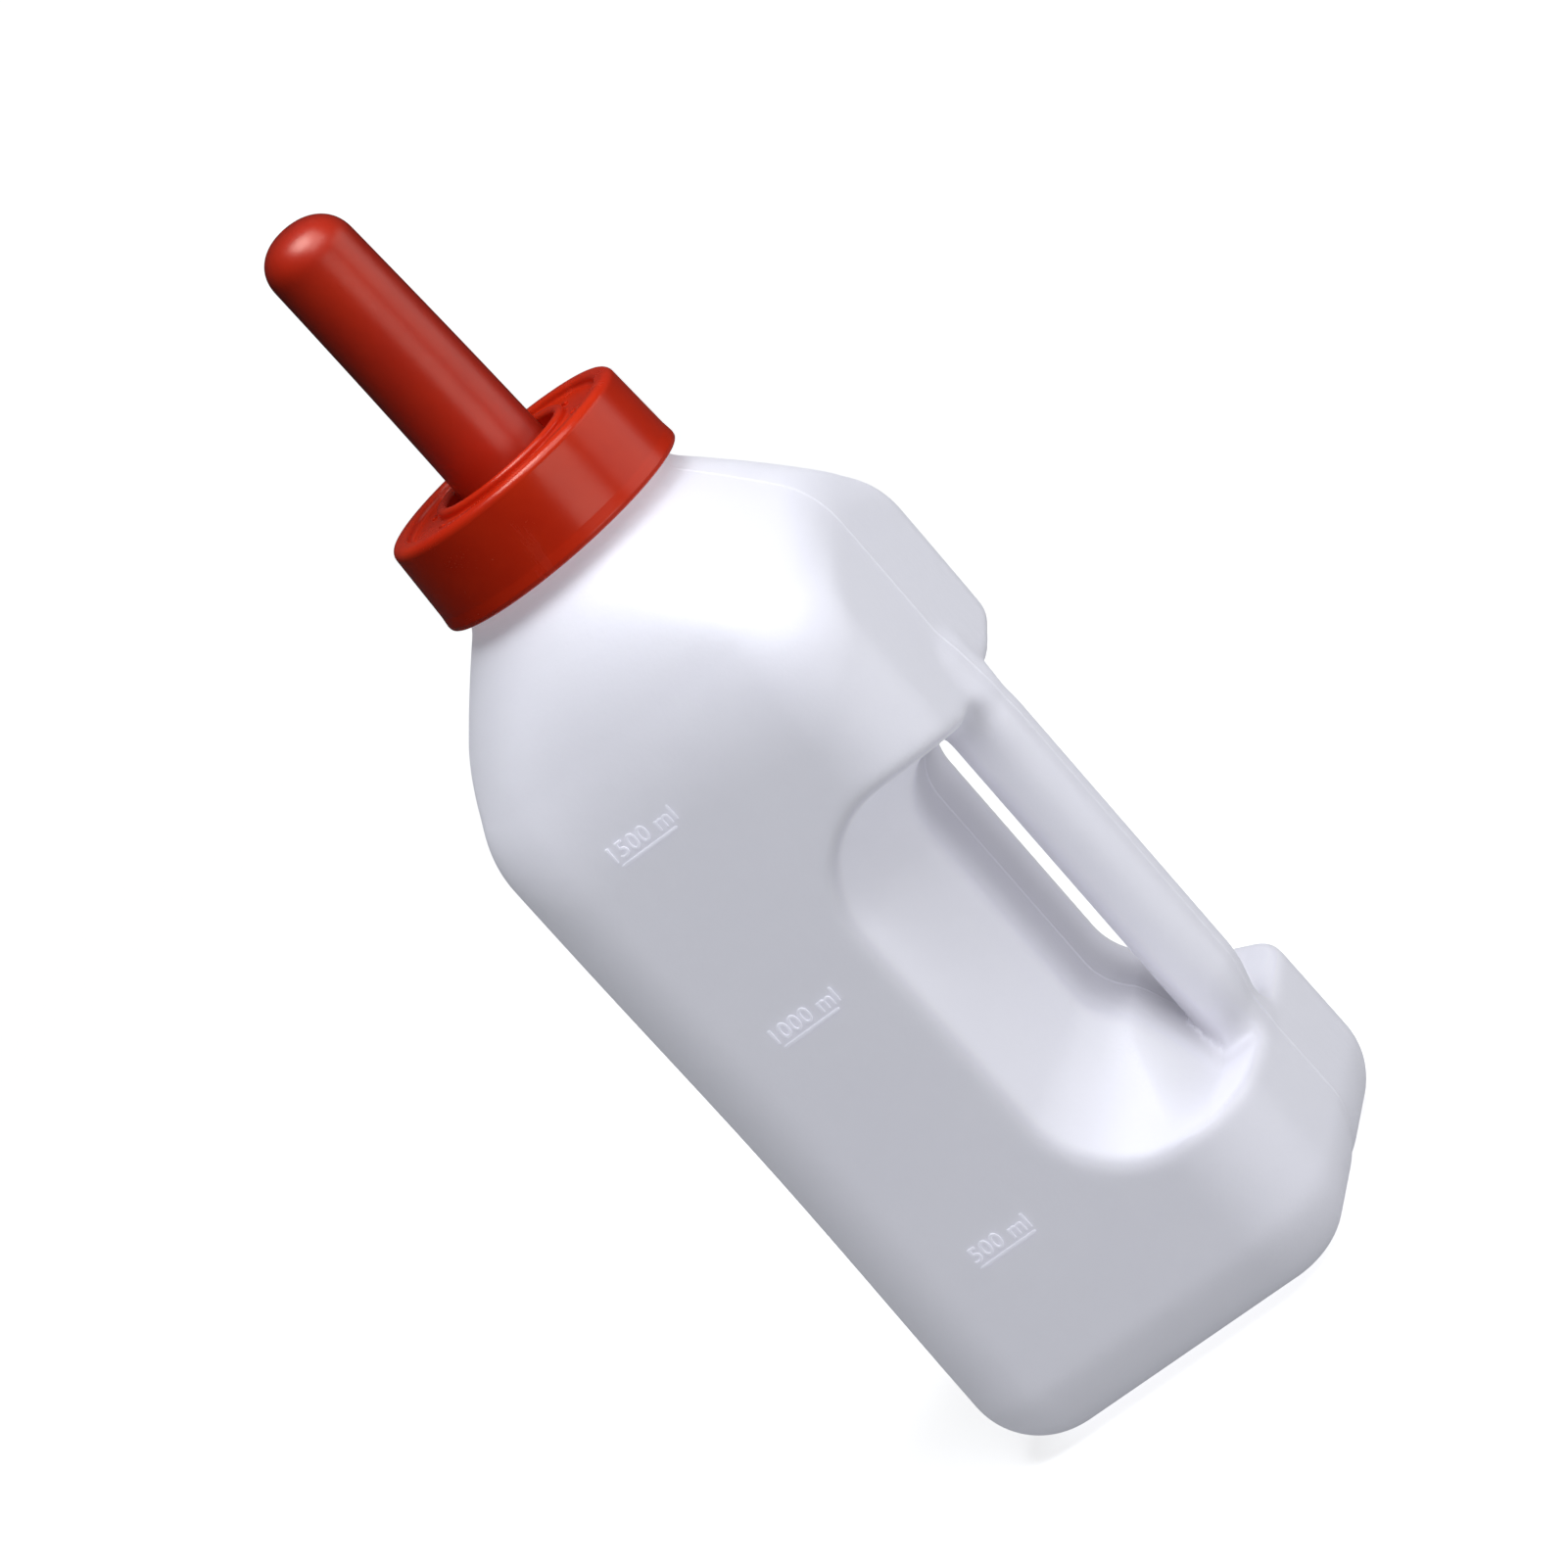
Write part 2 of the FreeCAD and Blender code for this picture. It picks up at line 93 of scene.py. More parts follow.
# Hand recess and handle
RECESS_FACE = {"left": 11.3, "bottom": 48.0, "top": 158.0, "corner": 26.0}
RECESS_DEEP = {"left": 27.3, "bottom": 66.0, "top": 151.0, "corner": 16.0}
RECESS_FALL = 20.0       # how much lower the recess is at the foot of the handle
RECESS_FALL_X = (33.0, 44.0)
WAIST_HALF_DEPTH = 21.5
RECESS_LEAN = 0.92
RECESS_RIM = 3.2
RECESS_FLOOR_ROUND = 2.2
RECESS_NOMINAL_DEPTH = 20.0
RECESS_WIDENS_TO = -0.2  # share of the depth, outside the face, up to which it still widens
HANDLE_MIDDLE_X = 48.7
HANDLE_HALF_X = 8.8
HANDLE_HALF_Y = 11.0
HANDLE_CORNER_R = 7.8
HANDLE_LOW = 44.0
HANDLE_HIGH = 166.0
HANDLE_SWELLS = (HANDLE_LOW - 4, HANDLE_LOW + 20)
HANDLE_SHRINKS = (HANDLE_HIGH - 26, HANDLE_HIGH + 6)
HANDLE_END_IN = 1.2
HANDLE_END_ROUND = 6.0
HANDLE_BLEND = 6.0
HANDLE_DRAWN_IN = 0.7

# Parting line and pinched seam of the base
SEAM_PROUD = 0.26
SEAM_WIDTH = 0.34
SEAM_FADES = (234.0, 238.0)
PINCH_DEPTH = 1.3
PINCH_WIDTH = 3.6
PINCH_FADES = (4.0, 22.0)

# Meshing and the openness that is stored with the mesh
GRID = 1.25
GRID_MARGIN = 3.0
GRID_MARGIN_HANDLE = 4.0
BOTTLE_GRID_Z = (-3.1, NECK_TOP + 3)
CAVITY_GRID_Z = (-2.3, NECK_TOP + 24)
CAVITY_COARSENESS = 1.5
SEAM_GRID = 0.22
SEAM_GRID_REACH = 1.2
SECTION_STEPS = 6
SECTION_SUPPORT = 0.25
SECTION_ROOM_USED = 0.96
SECTION_GAP_USED = 0.9
LATHE_TURNS = 160
SETTLE_ROUNDS = 4
SETTLE_PROBE = 0.04
SETTLE_LEAST_SLOPE = 0.05
SETTLE_LONGEST_STEP = 0.6
OPENNESS_REACHES = (4.0, 8.0, 16.0, 28.0)
OPENNESS_DROP = 0.75

# Threads, as in the CAD
THREAD_PITCH = 5.0
THREAD_DEPTH = 1.4
THREAD_SINK = 0.4
THREAD_ROOT = 2.2
THREAD_CREST = 1.0
THREAD_STEPS = 72
THREAD_FADE = 0.35
NECK_THREAD_START = 241.4
NECK_THREAD_TURNS = 1.5
COLLAR_THREAD_TURNS = 1.0

# Level marks
MARK_HEIGHTS = (51.0, 122.0, 179.5)
MARK_TEXTS = ("500 ml", "1000 ml", "1500 ml")
MARK_LENGTH = 16.8
MARK_MIDDLE_X = -13.2
MARK_THICKNESS = 0.8
MARK_PROUD = 0.13
MARK_SINK = 0.5
MARK_END_STEPS = 8
MARK_EDGE = 0.45         # share of its height at which the bar starts to narrow
MARK_TOP_SCALE = 0.72
NUMERAL_SIZE = 6.0
NUMERAL_LIFT = 1.4
NUMERAL_BEVEL = 0.06
NUMERAL_SPACING = 1.06
NUMERAL_CURVE_STEPS = 5
NUMERAL_WELD = 0.002
FACE_SEARCH_IN = 6.0
FACE_SEARCH_OUT = 4.0
FACE_SEARCH_ROUNDS = 20

# Screw collar
COLLAR_BORE_R = 31.7
COLLAR_R_LOW = 34.4
COLLAR_R_HIGH = 33.4
COLLAR_LOW_Z = COLLAR_LOW[2] - 0.5
COLLAR_HIGH_Z = COLLAR_HIGH[2] - 0.3
COLLAR_RIM_IN_R = COLLAR_R_HIGH - 4.6
COLLAR_PLATE = 2.7
FLANGE_THICKNESS = 3.2
PLATE_CLEARANCE = 0.05
COLLAR_PLATE_TOP = TEAT_LOW[2] + FLANGE_THICKNESS + PLATE_CLEARANCE + COLLAR_PLATE
COLLAR_PLATE_LOW = COLLAR_PLATE_TOP - COLLAR_PLATE
LIP_INNER_R = 16.6
LIP_OUTER_R = 19.2
LIP_TOP = COLLAR_PLATE_TOP + 2.2
# Corners (radius, height, rounding): the skirt with its bead, the rim, the plate and the lip
COLLAR_SECTION = (
    (COLLAR_BORE_R, COLLAR_LOW_Z, 0.5),
    (COLLAR_R_LOW + 0.2, COLLAR_LOW_Z, 1.0),
    (COLLAR_R_LOW + 0.35, COLLAR_LOW_Z + 1.3, 1.2),
    (COLLAR_R_LOW, COLLAR_LOW_Z + 4.0, 4.0),
    (COLLAR_R_HIGH, COLLAR_HIGH_Z, 2.9),
    (COLLAR_RIM_IN_R, COLLAR_HIGH_Z, 1.6),
    (COLLAR_RIM_IN_R - 0.5, COLLAR_PLATE_TOP, 0.9),
    (LIP_OUTER_R + 0.15, COLLAR_PLATE_TOP, 0.6),
    (LIP_OUTER_R, LIP_TOP, 1.2),
    (LIP_INNER_R, LIP_TOP, 1.2),
    (LIP_INNER_R, COLLAR_PLATE_LOW, 0.4),
    (COLLAR_BORE_R, COLLAR_PLATE_LOW, 0.8),
)
TICK_COUNT = 8
TICK_RADIUS = 21.9
TICK_LENGTH = 2.6
TICK_WIDTH = 1.2
TICK_SIDES = 16
TICK_SQUARENESS = 0.6
TICK_RINGS = ((1.0, -0.5), (1.0, 0.25), (0.8, 0.45))    # scale, height over the plate

# Teat
FLANGE_R = 28.4
FLANGE_EDGE = 0.8
FLANGE_EDGE_LOW = 1.0
TEAT_FOOT = ((3.0, 0.0), (1.0, 0.8), (0.3, 2.2), (0.0, 4.2))    # how far out, how high
TEAT_SIDE_STEPS = 24
TEAT_BORE_STEPS = 6
TEAT_DOME_STEPS = 20
TEAT_BORE_DOME_STEPS = 10
TEAT_BORE_DOME_HIGHER = 1.0
TEAT_BASE_R = 12.7
TEAT_NECK_R = 11.75
TEAT_WALL = 2.4
TEAT_TIP_WALL = 2.8
TEAT_HOLE_R = 1.2
TEAT_DOME = 0.86
TEAT_BLUNT = 0.9
TEAT_BEND = 2.2
TEAT_BEND_POWER = 1.4
TEAT_BEND_FROM = math.radians(22.0)
VENT_X = (VENT_LOW[0] + VENT_HIGH[0]) / 2
VENT_POCKET_R = 2.9
VENT_POCKET_DEPTH = 2.2
AIR_WAY_X = VENT_X + 1.7
AIR_WAY_R = 0.7
ROD_SIDES = 40
CUT_OVERLAP = 1.0

# Angles in degrees above which an edge stays crisp
BOTTLE_CRISP = 40
MARKS_CRISP = 35
COLLAR_CRISP = 40
TEAT_CRISP = 50

# What all materials share; levels are the pattern's values between which a feature grows
WHITE = (1.0, 1.0, 1.0, 1.0)
CLOUD_LEVELS = (0.35, 0.65)
SCUFF_LEVELS = (0.60, 0.72)
SCUFF_STRETCH = (1.0, 1.0, 0.12)
SPECK_LEVELS = (0.03, 0.09)
SPECK_HEIGHT = 0.5
FINE_SCALE = 4.3
FINE_SHARE = 0.5
GLOSS_LEVELS = (0.5, 1.0)
PLASTIC_IOR = 1.5
# Detail and roughness of each noise
CLOUD_NOISE = (3.0, 0.55)
GRAIN_NOISE = (5.0, 0.6)
FINE_NOISE = (3.0, 0.6)
SCUFF_NOISE = (6.0, 0.65)

# Floor, light and camera, in metres, watts and degrees
FLOOR_SIZE = 40.0
FLOOR_GRAIN_SCALE = 900.0
FLOOR_GRAIN_STRENGTH = 0.15
FLOOR_GRAIN_DEPTH = 0.1
FLOOR_ROUGHNESS = 0.9
FLOOR_SPECULAR = 0.1
FLOOR_SEEN = (0.9, 0.9, 0.9, 1.0)
FLOOR_BOUNCE = (0.2, 0.2, 0.2, 1.0)
FLOOR_LIFT = (0.75, 1.1)
FLOOR_LIFT_GROWS = (0.3, 2.5)
WORLD_TINT = (0.98, 0.985, 1.0, 1.0)
WORLD_ACROSS = (0.04, 0.11)
WORLD_ACROSS_GROWS = (-1.0, 1.0)
WORLD_UP = (0.5, 1.0)
WORLD_UP_GROWS = (-0.1, 1.0)
DAYLIGHT = (0.94, 0.965, 1.0)
# Name, azimuth from -Y towards +X, elevation, distance, width, height, power, tint
LAMPS = (
    ("key", 62, 58, 1.2, 0.95, 0.95, 7.4, DAYLIGHT),
    ("top", 30, 75, 1.2, 0.6, 0.6, 6.6, DAYLIGHT),
    ("window_a", 53, -2, 0.9, 0.55, 0.32, 1.0),
    ("window_b", 105, 4, 0.9, 0.80, 0.70, 1.7),
)
CAMERA_AZIMUTH = 21.93
CAMERA_RISE = 13.06
CAMERA_ROLL = 41.35
CAMERA_DISTANCE = 1.8
CAMERA_TARGET_Z = 0.1276
CAMERA_LENS = 174.5
CAMERA_SHIFT = (-0.0567, 0.0638)
CAMERA_SENSOR = 36.0
CAMERA_SEES_TO = 200.0


# ---------------------------------------------------------------- distance function of the bottle


def smooth_min(a, b, k):
    h = np.clip(0.5 + 0.5 * (b - a) / k, 0.0, 1.0)
    return b + (a - b) * h - k * h * (1 - h)


def smooth_max(a, b, k):
    return -smooth_min(-a, -b, k)


def smooth_step(x, start, end):
    t = np.clip((x - start) / (end - start), 0.0, 1.0)
    return t * t * (3 - 2 * t)


def mix(a, b, t):
    return a + (b - a) * t


def arch(t):
    """Parabola: 0 at both ends and 1 in the middle."""
    return 4 * t * (1 - t)


def round_rectangle(u, v, half_u, half_v, r):
    qu = np.abs(u) - half_u + r
    qv = np.abs(v) - half_v + r
    return np.hypot(np.maximum(qu, 0), np.maximum(qv, 0)) + np.minimum(np.maximum(qu, qv), 0) - r


def round_join(a, b, r):
    """Where two solids overlap, with the edge between their faces rounded to radius r."""
    qa = a + r
    qb = b + r
    return np.hypot(np.maximum(qa, 0), np.maximum(qb, 0)) + np.minimum(np.maximum(qa, qb), 0) - r


def walls(x, y, z):
    """Upright square section, cut off above by the round cone of the shoulder and the neck."""
    reach = (z - PANEL_SINK_MIDDLE) / PANEL_SINK_REACH
    sink = PANEL_SINK * np.exp(-(reach**2) * PANEL_SINK_FALL) - FACE_PROUD
    square = round_rectangle(x, y, HALF_WIDTH - sink, HALF_DEPTH - sink, CORNER_R)
    cone = NECK_R + SHOULDER_SLOPE * (SHOULDER_END - z)
    down = np.clip((SHOULDER_END - z) / SHOULDER_HEIGHT, 0, 1)
    cone = cone + SHOULDER_BULGE * arch(down)
    lean = mix(SHOULDER_LEAN, 1.0, smooth_step(z, *SHOULDER_LEAN_ENDS))
    radius = smooth_max(cone, NECK_R, NECK_FILLET)
    from_axis = np.hypot(x, y)
    facing = smooth_step(np.abs(y) / np.maximum(from_axis, 1.0), *SHOULDER_BLEND_TURN)
    blend = mix(SHOULDER_BLEND_SIDE, SHOULDER_BLEND_FACE, facing)
    side = smooth_max(square, (from_axis - radius) * lean, blend)
    standing = round_join(side, -z, BASE_EDGE_R)
    return round_join(standing, z - NECK_TOP, NECK_LIP_ROUND)


def recess(x, y, z):
    """Below zero inside the hand recess of both faces and the window between them."""
    depth = (HALF_DEPTH - np.abs(y)) / (HALF_DEPTH - WAIST_HALF_DEPTH)
    floor_round = RECESS_FLOOR_ROUND / RECESS_NOMINAL_DEPTH
    depth = np.maximum(smooth_min(depth, 1.0, floor_round), RECESS_WIDENS_TO)
    left = mix(RECESS_FACE["left"], RECESS_DEEP["left"], depth)
    fall = RECESS_FALL * smooth_step(x, *RECESS_FALL_X)
    bottom = mix(RECESS_FACE["bottom"], RECESS_DEEP["bottom"] - fall, depth)
    top = mix(RECESS_FACE["top"], RECESS_DEEP["top"], depth)
    corner = mix(RECESS_FACE["corner"], RECESS_DEEP["corner"], depth)
    past_handle = HALF_WIDTH * 3
    half_u = (past_handle - left) / 2
    half_v = (top - bottom) / 2
    return RECESS_LEAN * round_rectangle(
        x - (past_handle + left) / 2, z - (top + bottom) / 2, half_u, half_v, corner
    )


def handle(x, y, z):
    """Upright grip with rounded corners, its outside drawn in at both ends."""
    swell = smooth_step(z, *HANDLE_SWELLS) * (1 - smooth_step(z, *HANDLE_SHRINKS))
    outer = mix(HALF_WIDTH - HANDLE_END_IN, HANDLE_OUTSIDE - HANDLE_DRAWN_IN, swell)
    inner = HANDLE_MIDDLE_X - HANDLE_HALF_X
    section = round_rectangle(
        x - (inner + outer) / 2, y, (outer - inner) / 2, HANDLE_HALF_Y, HANDLE_CORNER_R
    )
    length = np.abs(z - (HANDLE_LOW + HANDLE_HIGH) / 2) - (HANDLE_HIGH - HANDLE_LOW) / 2
    return round_join(section, length, HANDLE_END_ROUND)


def bottle_form(x, y, z):
    """Walls, shoulder and neck with the recess taken out and the handle put in."""
    shell = smooth_max(walls(x, y, z), -recess(x, y, z), RECESS_RIM)
    return smooth_min(shell, handle(x, y, z), HANDLE_BLEND)


def bottle_outside(x, y, z):
    """The form with its parting line and the groove that the mould pinches into the base."""
    seam = SEAM_PROUD * np.exp(-((y / SEAM_WIDTH) ** 2)) * (1 - smooth_step(z, *SEAM_FADES))
    pinch = PINCH_DEPTH * np.exp(-((y / PINCH_WIDTH) ** 2)) * (1 - smooth_step(z, *PINCH_FADES))
    return bottle_form(x, y, z) - seam + pinch


def bottle_cavity(x, y, z):
    """The hollow: the form less its wall, and the bore of the neck."""
    inside = round_join(bottle_form(x, y, z) + WALL, z - SHOULDER_END, CAVITY_EDGE_ROUND)
    bore = np.hypot(x, y) - NECK_BORE_R
    throat = round_join(bore, np.abs(z - NECK_TOP) - THROAT_DEPTH, CAVITY_EDGE_ROUND)
    return smooth_min(inside, throat, THROAT_BLEND)


# ---------------------------------------------------------------- meshing a distance function


def grid_lines(low, high, step, fine_at=None):
    """Even grid lines, with finer ones round fine_at."""
    lines = np.arange(low, high + step, step)
    if fine_at is None:
        return lines
    near = np.abs(lines - fine_at) > SEAM_GRID_REACH + step / 2
    fine = fine_at + np.arange(-SEAM_GRID_REACH, SEAM_GRID_REACH + SEAM_GRID / 2, SEAM_GRID)
    return np.sort(np.concatenate([lines[near], fine]))


def settle(points, distance):
    """Moves points onto the zero surface along the slope of the distance."""
    h = SETTLE_PROBE
    for _ in range(SETTLE_ROUNDS):
        x, y, z = points.T
        d = distance(x, y, z)
        gx = (distance(x + h, y, z) - distance(x - h, y, z)) / (2 * h)
        gy = (distance(x, y + h, z) - distance(x, y - h, z)) / (2 * h)
        gz = (distance(x, y, z + h) - distance(x, y, z - h)) / (2 * h)
        slope = np.stack([gx, gy, gz], 1)
        size = np.maximum((slope**2).sum(1), SETTLE_LEAST_SLOPE)
        step = np.clip(d / size, -SETTLE_LONGEST_STEP, SETTLE_LONGEST_STEP)
        points = points - slope * step[:, None]
    return points


def surface_net(distance, xs, ys, zs):
    """Closed quad mesh of the zero surface: one vertex in every grid cell that it crosses."""
    field = distance(xs[:, None, None], ys[None, :, None], zs[None, None, :])
    inside = field < 0
    corners = [(i, j, k) for i in (0, 1) for j in (0, 1) for k in (0, 1)]
    shape = tuple(n - 1 for n in field.shape)

    def at(values, c):
        return values[c[0] : c[0] + shape[0], c[1] : c[1] + shape[1], c[2] : c[2] + shape[2]]

    filled = sum(at(inside, c).astype(np.int8) for c in corners)
    cells = np.argwhere((filled > 0) & (filled < 8))
    number = np.full(shape, -1, np.int64)
    number[tuple(cells.T)] = np.arange(len(cells))
    total = np.zeros((len(cells), 3))
    hits = np.zeros(len(cells))
    lines = (xs, ys, zs)
    for a in corners:
        for axis in range(3):
            if a[axis]:
                continue
            b = list(a)
            b[axis] = 1
            ia = cells + a
            ib = cells + b
            fa = field[tuple(ia.T)]
            fb = field[tuple(ib.T)]
            cross = (fa < 0) != (fb < 0)
            t = np.where(cross, fa / np.where(cross, fa - fb, 1.0), 0.0)
            pa = np.stack([lines[m][ia[:, m]] for m in range(3)], 1)
            pb = np.stack([lines[m][ib[:, m]] for m in range(3)], 1)
            total += np.where(cross[:, None], pa + (pb - pa) * t[:, None], 0.0)
            hits += cross
    points = settle(total / hits[:, None], distance)
    quads = []
    for axis in range(3):
        u, v = [m for m in range(3) if m != axis]
        first = [slice(1, -1)] * 3
        second = [slice(1, -1)] * 3
        first[axis] = slice(0, -1)
        second[axis] = slice(1, None)
        start = inside[tuple(first)]
        end = inside[tuple(second)]
        edges = np.argwhere(start != end)
        out = start[tuple(edges.T)]
        base = edges.copy()
        base[:, u] += 1
        base[:, v] += 1
        ring = []
        for du, dv in ((0, 0), (1, 0), (1, 1), (0, 1)):
            cell = base.copy()
            cell[:, u] -= du
            cell[:, v] -= dv
            ring.append(number[tuple(cell.T)])
        quad = np.stack(ring, 1)
        flip = out if axis != 1 else ~out
        quad[flip] = quad[flip][:, ::-1]
        quads.append(quad[:, ::-1])
    return points, np.concatenate(quads)


def place(name, data):
    """Object in the scene that shows the data."""
    thing = bpy.data.objects.new(name, data)
    bpy.context.scene.collection.objects.link(thing)
    return thing


def mesh_object(name, points, faces):
    """Object in metres from points in millimetres."""
    mesh = bpy.data.meshes.new(name)
    faces = faces.tolist() if isinstance(faces, np.ndarray) else faces
    mesh.from_pydata((np.asarray(points) * MM).tolist(), [], faces)
    mesh.validate()
    mesh.update()
    return place(name, mesh)


def evaluated_mesh(thing):
    """New mesh of the object as its modifiers or its curve settings make it."""
    view = bpy.context.evaluated_depsgraph_get()
    return bpy.data.meshes.new_from_object(thing.evaluated_get(view))


def combine(thing, other, operation):
    """Boolean of two closed meshes; the second is used up."""
    step = thing.modifiers.new("combine", "BOOLEAN")
    step.operation = operation
    step.object = other
    step.solver = "MANIFOLD"
    mesh = evaluated_mesh(thing)
    thing.modifiers.clear()
    thing.data = mesh
    bpy.data.objects.remove(other)


def lathe(name, section):
    """Closed solid from a closed half section of (radius, height) points."""
    count = len(section)
    points = []
    faces = []
    for i in range(LATHE_TURNS):
        angle = 2 * math.pi * i / LATHE_TURNS
        after = (i + 1) % LATHE_TURNS
        for j, (r, z) in enumerate(section):
            points.append((r * math.cos(angle), r * math.sin(angle), z))
            a = i * count + j
            b = i * count + (j + 1) % count
            c = after * count + (j + 1) % count
            d = after * count + j
            faces.append((a, d, c, b))
    return face_outward(mesh_object(name, points, faces))


def stack_rings(name, rings):
    """Closed solid through rings that have as many points each, with flat ends."""
    count = len(rings[0])
    last = (len(rings) - 1) * count
    faces = [list(range(count - 1, -1, -1)), list(range(last, last + count))]
    for ring in range(0, last, count):
        for k in range(count):
            a = ring + k
            b = ring + (k + 1) % count
            faces.append((a, b, b + count, a + count))
    points = [point for ring in rings for point in ring]
    return face_outward(mesh_object(name, points, faces))


def section_line(corners):
    """Closed outline with each corner (r, z, radius) rounded, and a point next to every bend."""
    count = len(corners)
    points = []
    for i in range(count):
        before = Vector(corners[i - 1][:2])
        here = Vector(corners[i][:2])
        after = Vector(corners[(i + 1) % count][:2])
        radius = corners[i][2]
        back = (before - here).normalized()
        ahead = (after - here).normalized()
        half = back.angle(ahead) / 2
        room = min((before - here).length, (after - here).length) / 2
        reach = min(radius / math.tan(half), room * SECTION_ROOM_USED)
        radius = reach * math.tan(half)
        centre = here + (back + ahead).normalized() * (radius / math.sin(half))
        start = here + back * reach
        end = here + ahead * reach
        gap = min(SECTION_SUPPORT, (room - reach) * SECTION_GAP_USED)
        points.append(tuple(start + back * gap))
        a0 = math.atan2(start.y - centre.y, start.x - centre.x)
        a1 = math.atan2(end.y - centre.y, end.x - centre.x)
        turn = (a1 - a0 + math.pi) % (2 * math.pi) - math.pi
        for k in range(SECTION_STEPS + 1):
            a = a0 + turn * k / SECTION_STEPS
            points.append((centre.x + radius * math.cos(a), centre.y + radius * math.sin(a)))
        points.append(tuple(end + ahead * gap))
    return points


def thread_ridge(name, wall_r, direction, start_z, turns):
    """Helical ridge that stands out (1) or in (-1) from a round wall and fades at both ends."""
    count = int(THREAD_STEPS * turns)
    points = []
    for i in range(count + 1):
        angle = 2 * math.pi * turns * i / count
        z = start_z + THREAD_PITCH * angle / (2 * math.pi)
        fade = min(1.0, min(i, count - i) * 2 * math.pi * turns / count / THREAD_FADE)
        root = wall_r - direction * THREAD_SINK
        crest = wall_r + direction * (THREAD_DEPTH * fade - THREAD_SINK / 2 * (1 - fade))
        for r, dz in (
            (root, -THREAD_ROOT / 2),
            (crest, -THREAD_CREST / 2),
            (crest, THREAD_CREST / 2),
            (root, THREAD_ROOT / 2),
        ):
            points.append((r * math.cos(angle), r * math.sin(angle), z + dz))
    faces = [(0, 1, 2, 3), (4 * count + 3, 4 * count + 2, 4 * count + 1, 4 * count)]
    for i in range(count):
        for j in range(4):
            k = (j + 1) % 4
            faces.append((4 * i + j, 4 * i + 4 + j, 4 * i + 4 + k, 4 * i + k))
    return face_outward(mesh_object(name, points, faces))


def face_outward(thing):
    """Turns the faces of a closed mesh round if its volume comes out negative."""
    work = bmesh.new()
    work.from_mesh(thing.data)
    if work.calc_volume(signed=True) < 0:
        bmesh.ops.reverse_faces(work, faces=work.faces)
    work.to_mesh(thing.data)
    work.free()
    return thing


def soft_edges(thing, degrees):
    """Smooth shading that stays crisp at edges sharper than the angle."""
    thing.data.shade_smooth()
    thing.data.set_sharp_from_angle(angle=math.radians(degrees))
    return thing


# ---------------------------------------------------------------- pieces


# The openness drives painted light: it scales the bottle's painted emission and paints shade into
# its hollows.
def store_openness(thing, distance=None):
    """Saves at each vertex how open its surroundings are: 1 on a bulge, less down in a hollow."""
    mesh = thing.data
    openness = np.ones(len(mesh.vertices))
    if distance:
        where = np.empty(openness.size * 3)
        outward = np.empty(openness.size * 3)
        mesh.vertices.foreach_get("co", where)
        mesh.vertices.foreach_get("normal", outward)
        where, outward = where.reshape(-1, 3) / MM, outward.reshape(-1, 3)
        for reach in OPENNESS_REACHES:
            x, y, z = (where + outward * reach).T
            closed = np.clip(1 - distance(x, y, z) / reach, 0, 1)
            openness -= closed * OPENNESS_DROP / len(OPENNESS_REACHES)
    values = mesh.attributes.new("openness", "FLOAT", "POINT")
    values.data.foreach_set("value", np.clip(openness, 0, 1).astype(np.float32))


def mesh_bottle(name, distance, heights, step, fine_at=None):
    """Closed mesh of one of the bottle's distance functions, between two heights."""
    xs = grid_lines(BODY_LOW[0] - GRID_MARGIN, HANDLE_OUTSIDE + GRID_MARGIN_HANDLE, step)
    ys = grid_lines(-HALF_DEPTH - GRID_MARGIN, HALF_DEPTH + GRID_MARGIN, step, fine_at)
    zs = grid_lines(*heights, step)
    return face_outward(mesh_object(name, *surface_net(distance, xs, ys, zs)))


def bottle_piece():
    thing = mesh_bottle("bottle", bottle_outside, BOTTLE_GRID_Z, GRID, fine_at=0.0)
    inside = mesh_bottle("cavity", bottle_cavity, CAVITY_GRID_Z, GRID * CAVITY_COARSENESS)
    combine(thing, inside, "DIFFERENCE")
    ridge = thread_ridge("ridge", NECK_R, 1, NECK_THREAD_START, NECK_THREAD_TURNS)
    combine(thing, ridge, "UNION")
    store_openness(thing, bottle_outside)
    return soft_edges(thing, BOTTLE_CRISP)


def face_sink(z):
    """How far the -Y face lies inside its nominal plane at height z."""
    inside, outside = HALF_DEPTH - FACE_SEARCH_IN, HALF_DEPTH + FACE_SEARCH_OUT
    for _ in range(FACE_SEARCH_ROUNDS):
        middle = (inside + outside) / 2
        if walls(MARK_MIDDLE_X, -middle, z) < 0:
            inside = middle
        else:
            outside = middle
    return HALF_DEPTH - inside


def on_front_face(thing):
    """Moves a relief drawn in (x, height above the face, z) onto the -Y face."""
    heights = [v.co.z / MM for v in thing.data.vertices]
    low, high = min(heights), max(heights)
    sink_low, sink_high = face_sink(low), face_sink(high)
    for v, z in zip(thing.data.vertices, heights):
        sink = mix(sink_low, sink_high, (z - low) / (high - low))
        v.co.y = (-HALF_DEPTH + sink) * MM - v.co.y
    return thing


def mark_line(z):
    """Raised bar with round ends."""
    half = MARK_LENGTH / 2
    r = MARK_THICKNESS / 2
    outline = []
    for side in (1, -1):
        for k in range(MARK_END_STEPS + 1):
            a = math.pi * (k / MARK_END_STEPS - 0.5)
            outline.append((side * (half - r + r * math.cos(a)), side * r * math.sin(a)))
    rings = []
    for scale, height in (
        (1.0, -MARK_SINK),
        (1.0, MARK_PROUD * MARK_EDGE),
        (MARK_TOP_SCALE, MARK_PROUD),
    ):
        grow = 1 - (1 - scale) * r / half
        rings.append([(MARK_MIDDLE_X + u * grow, height, z + w * scale) for u, w in outline])
    return on_front_face(stack_rings("mark", rings))


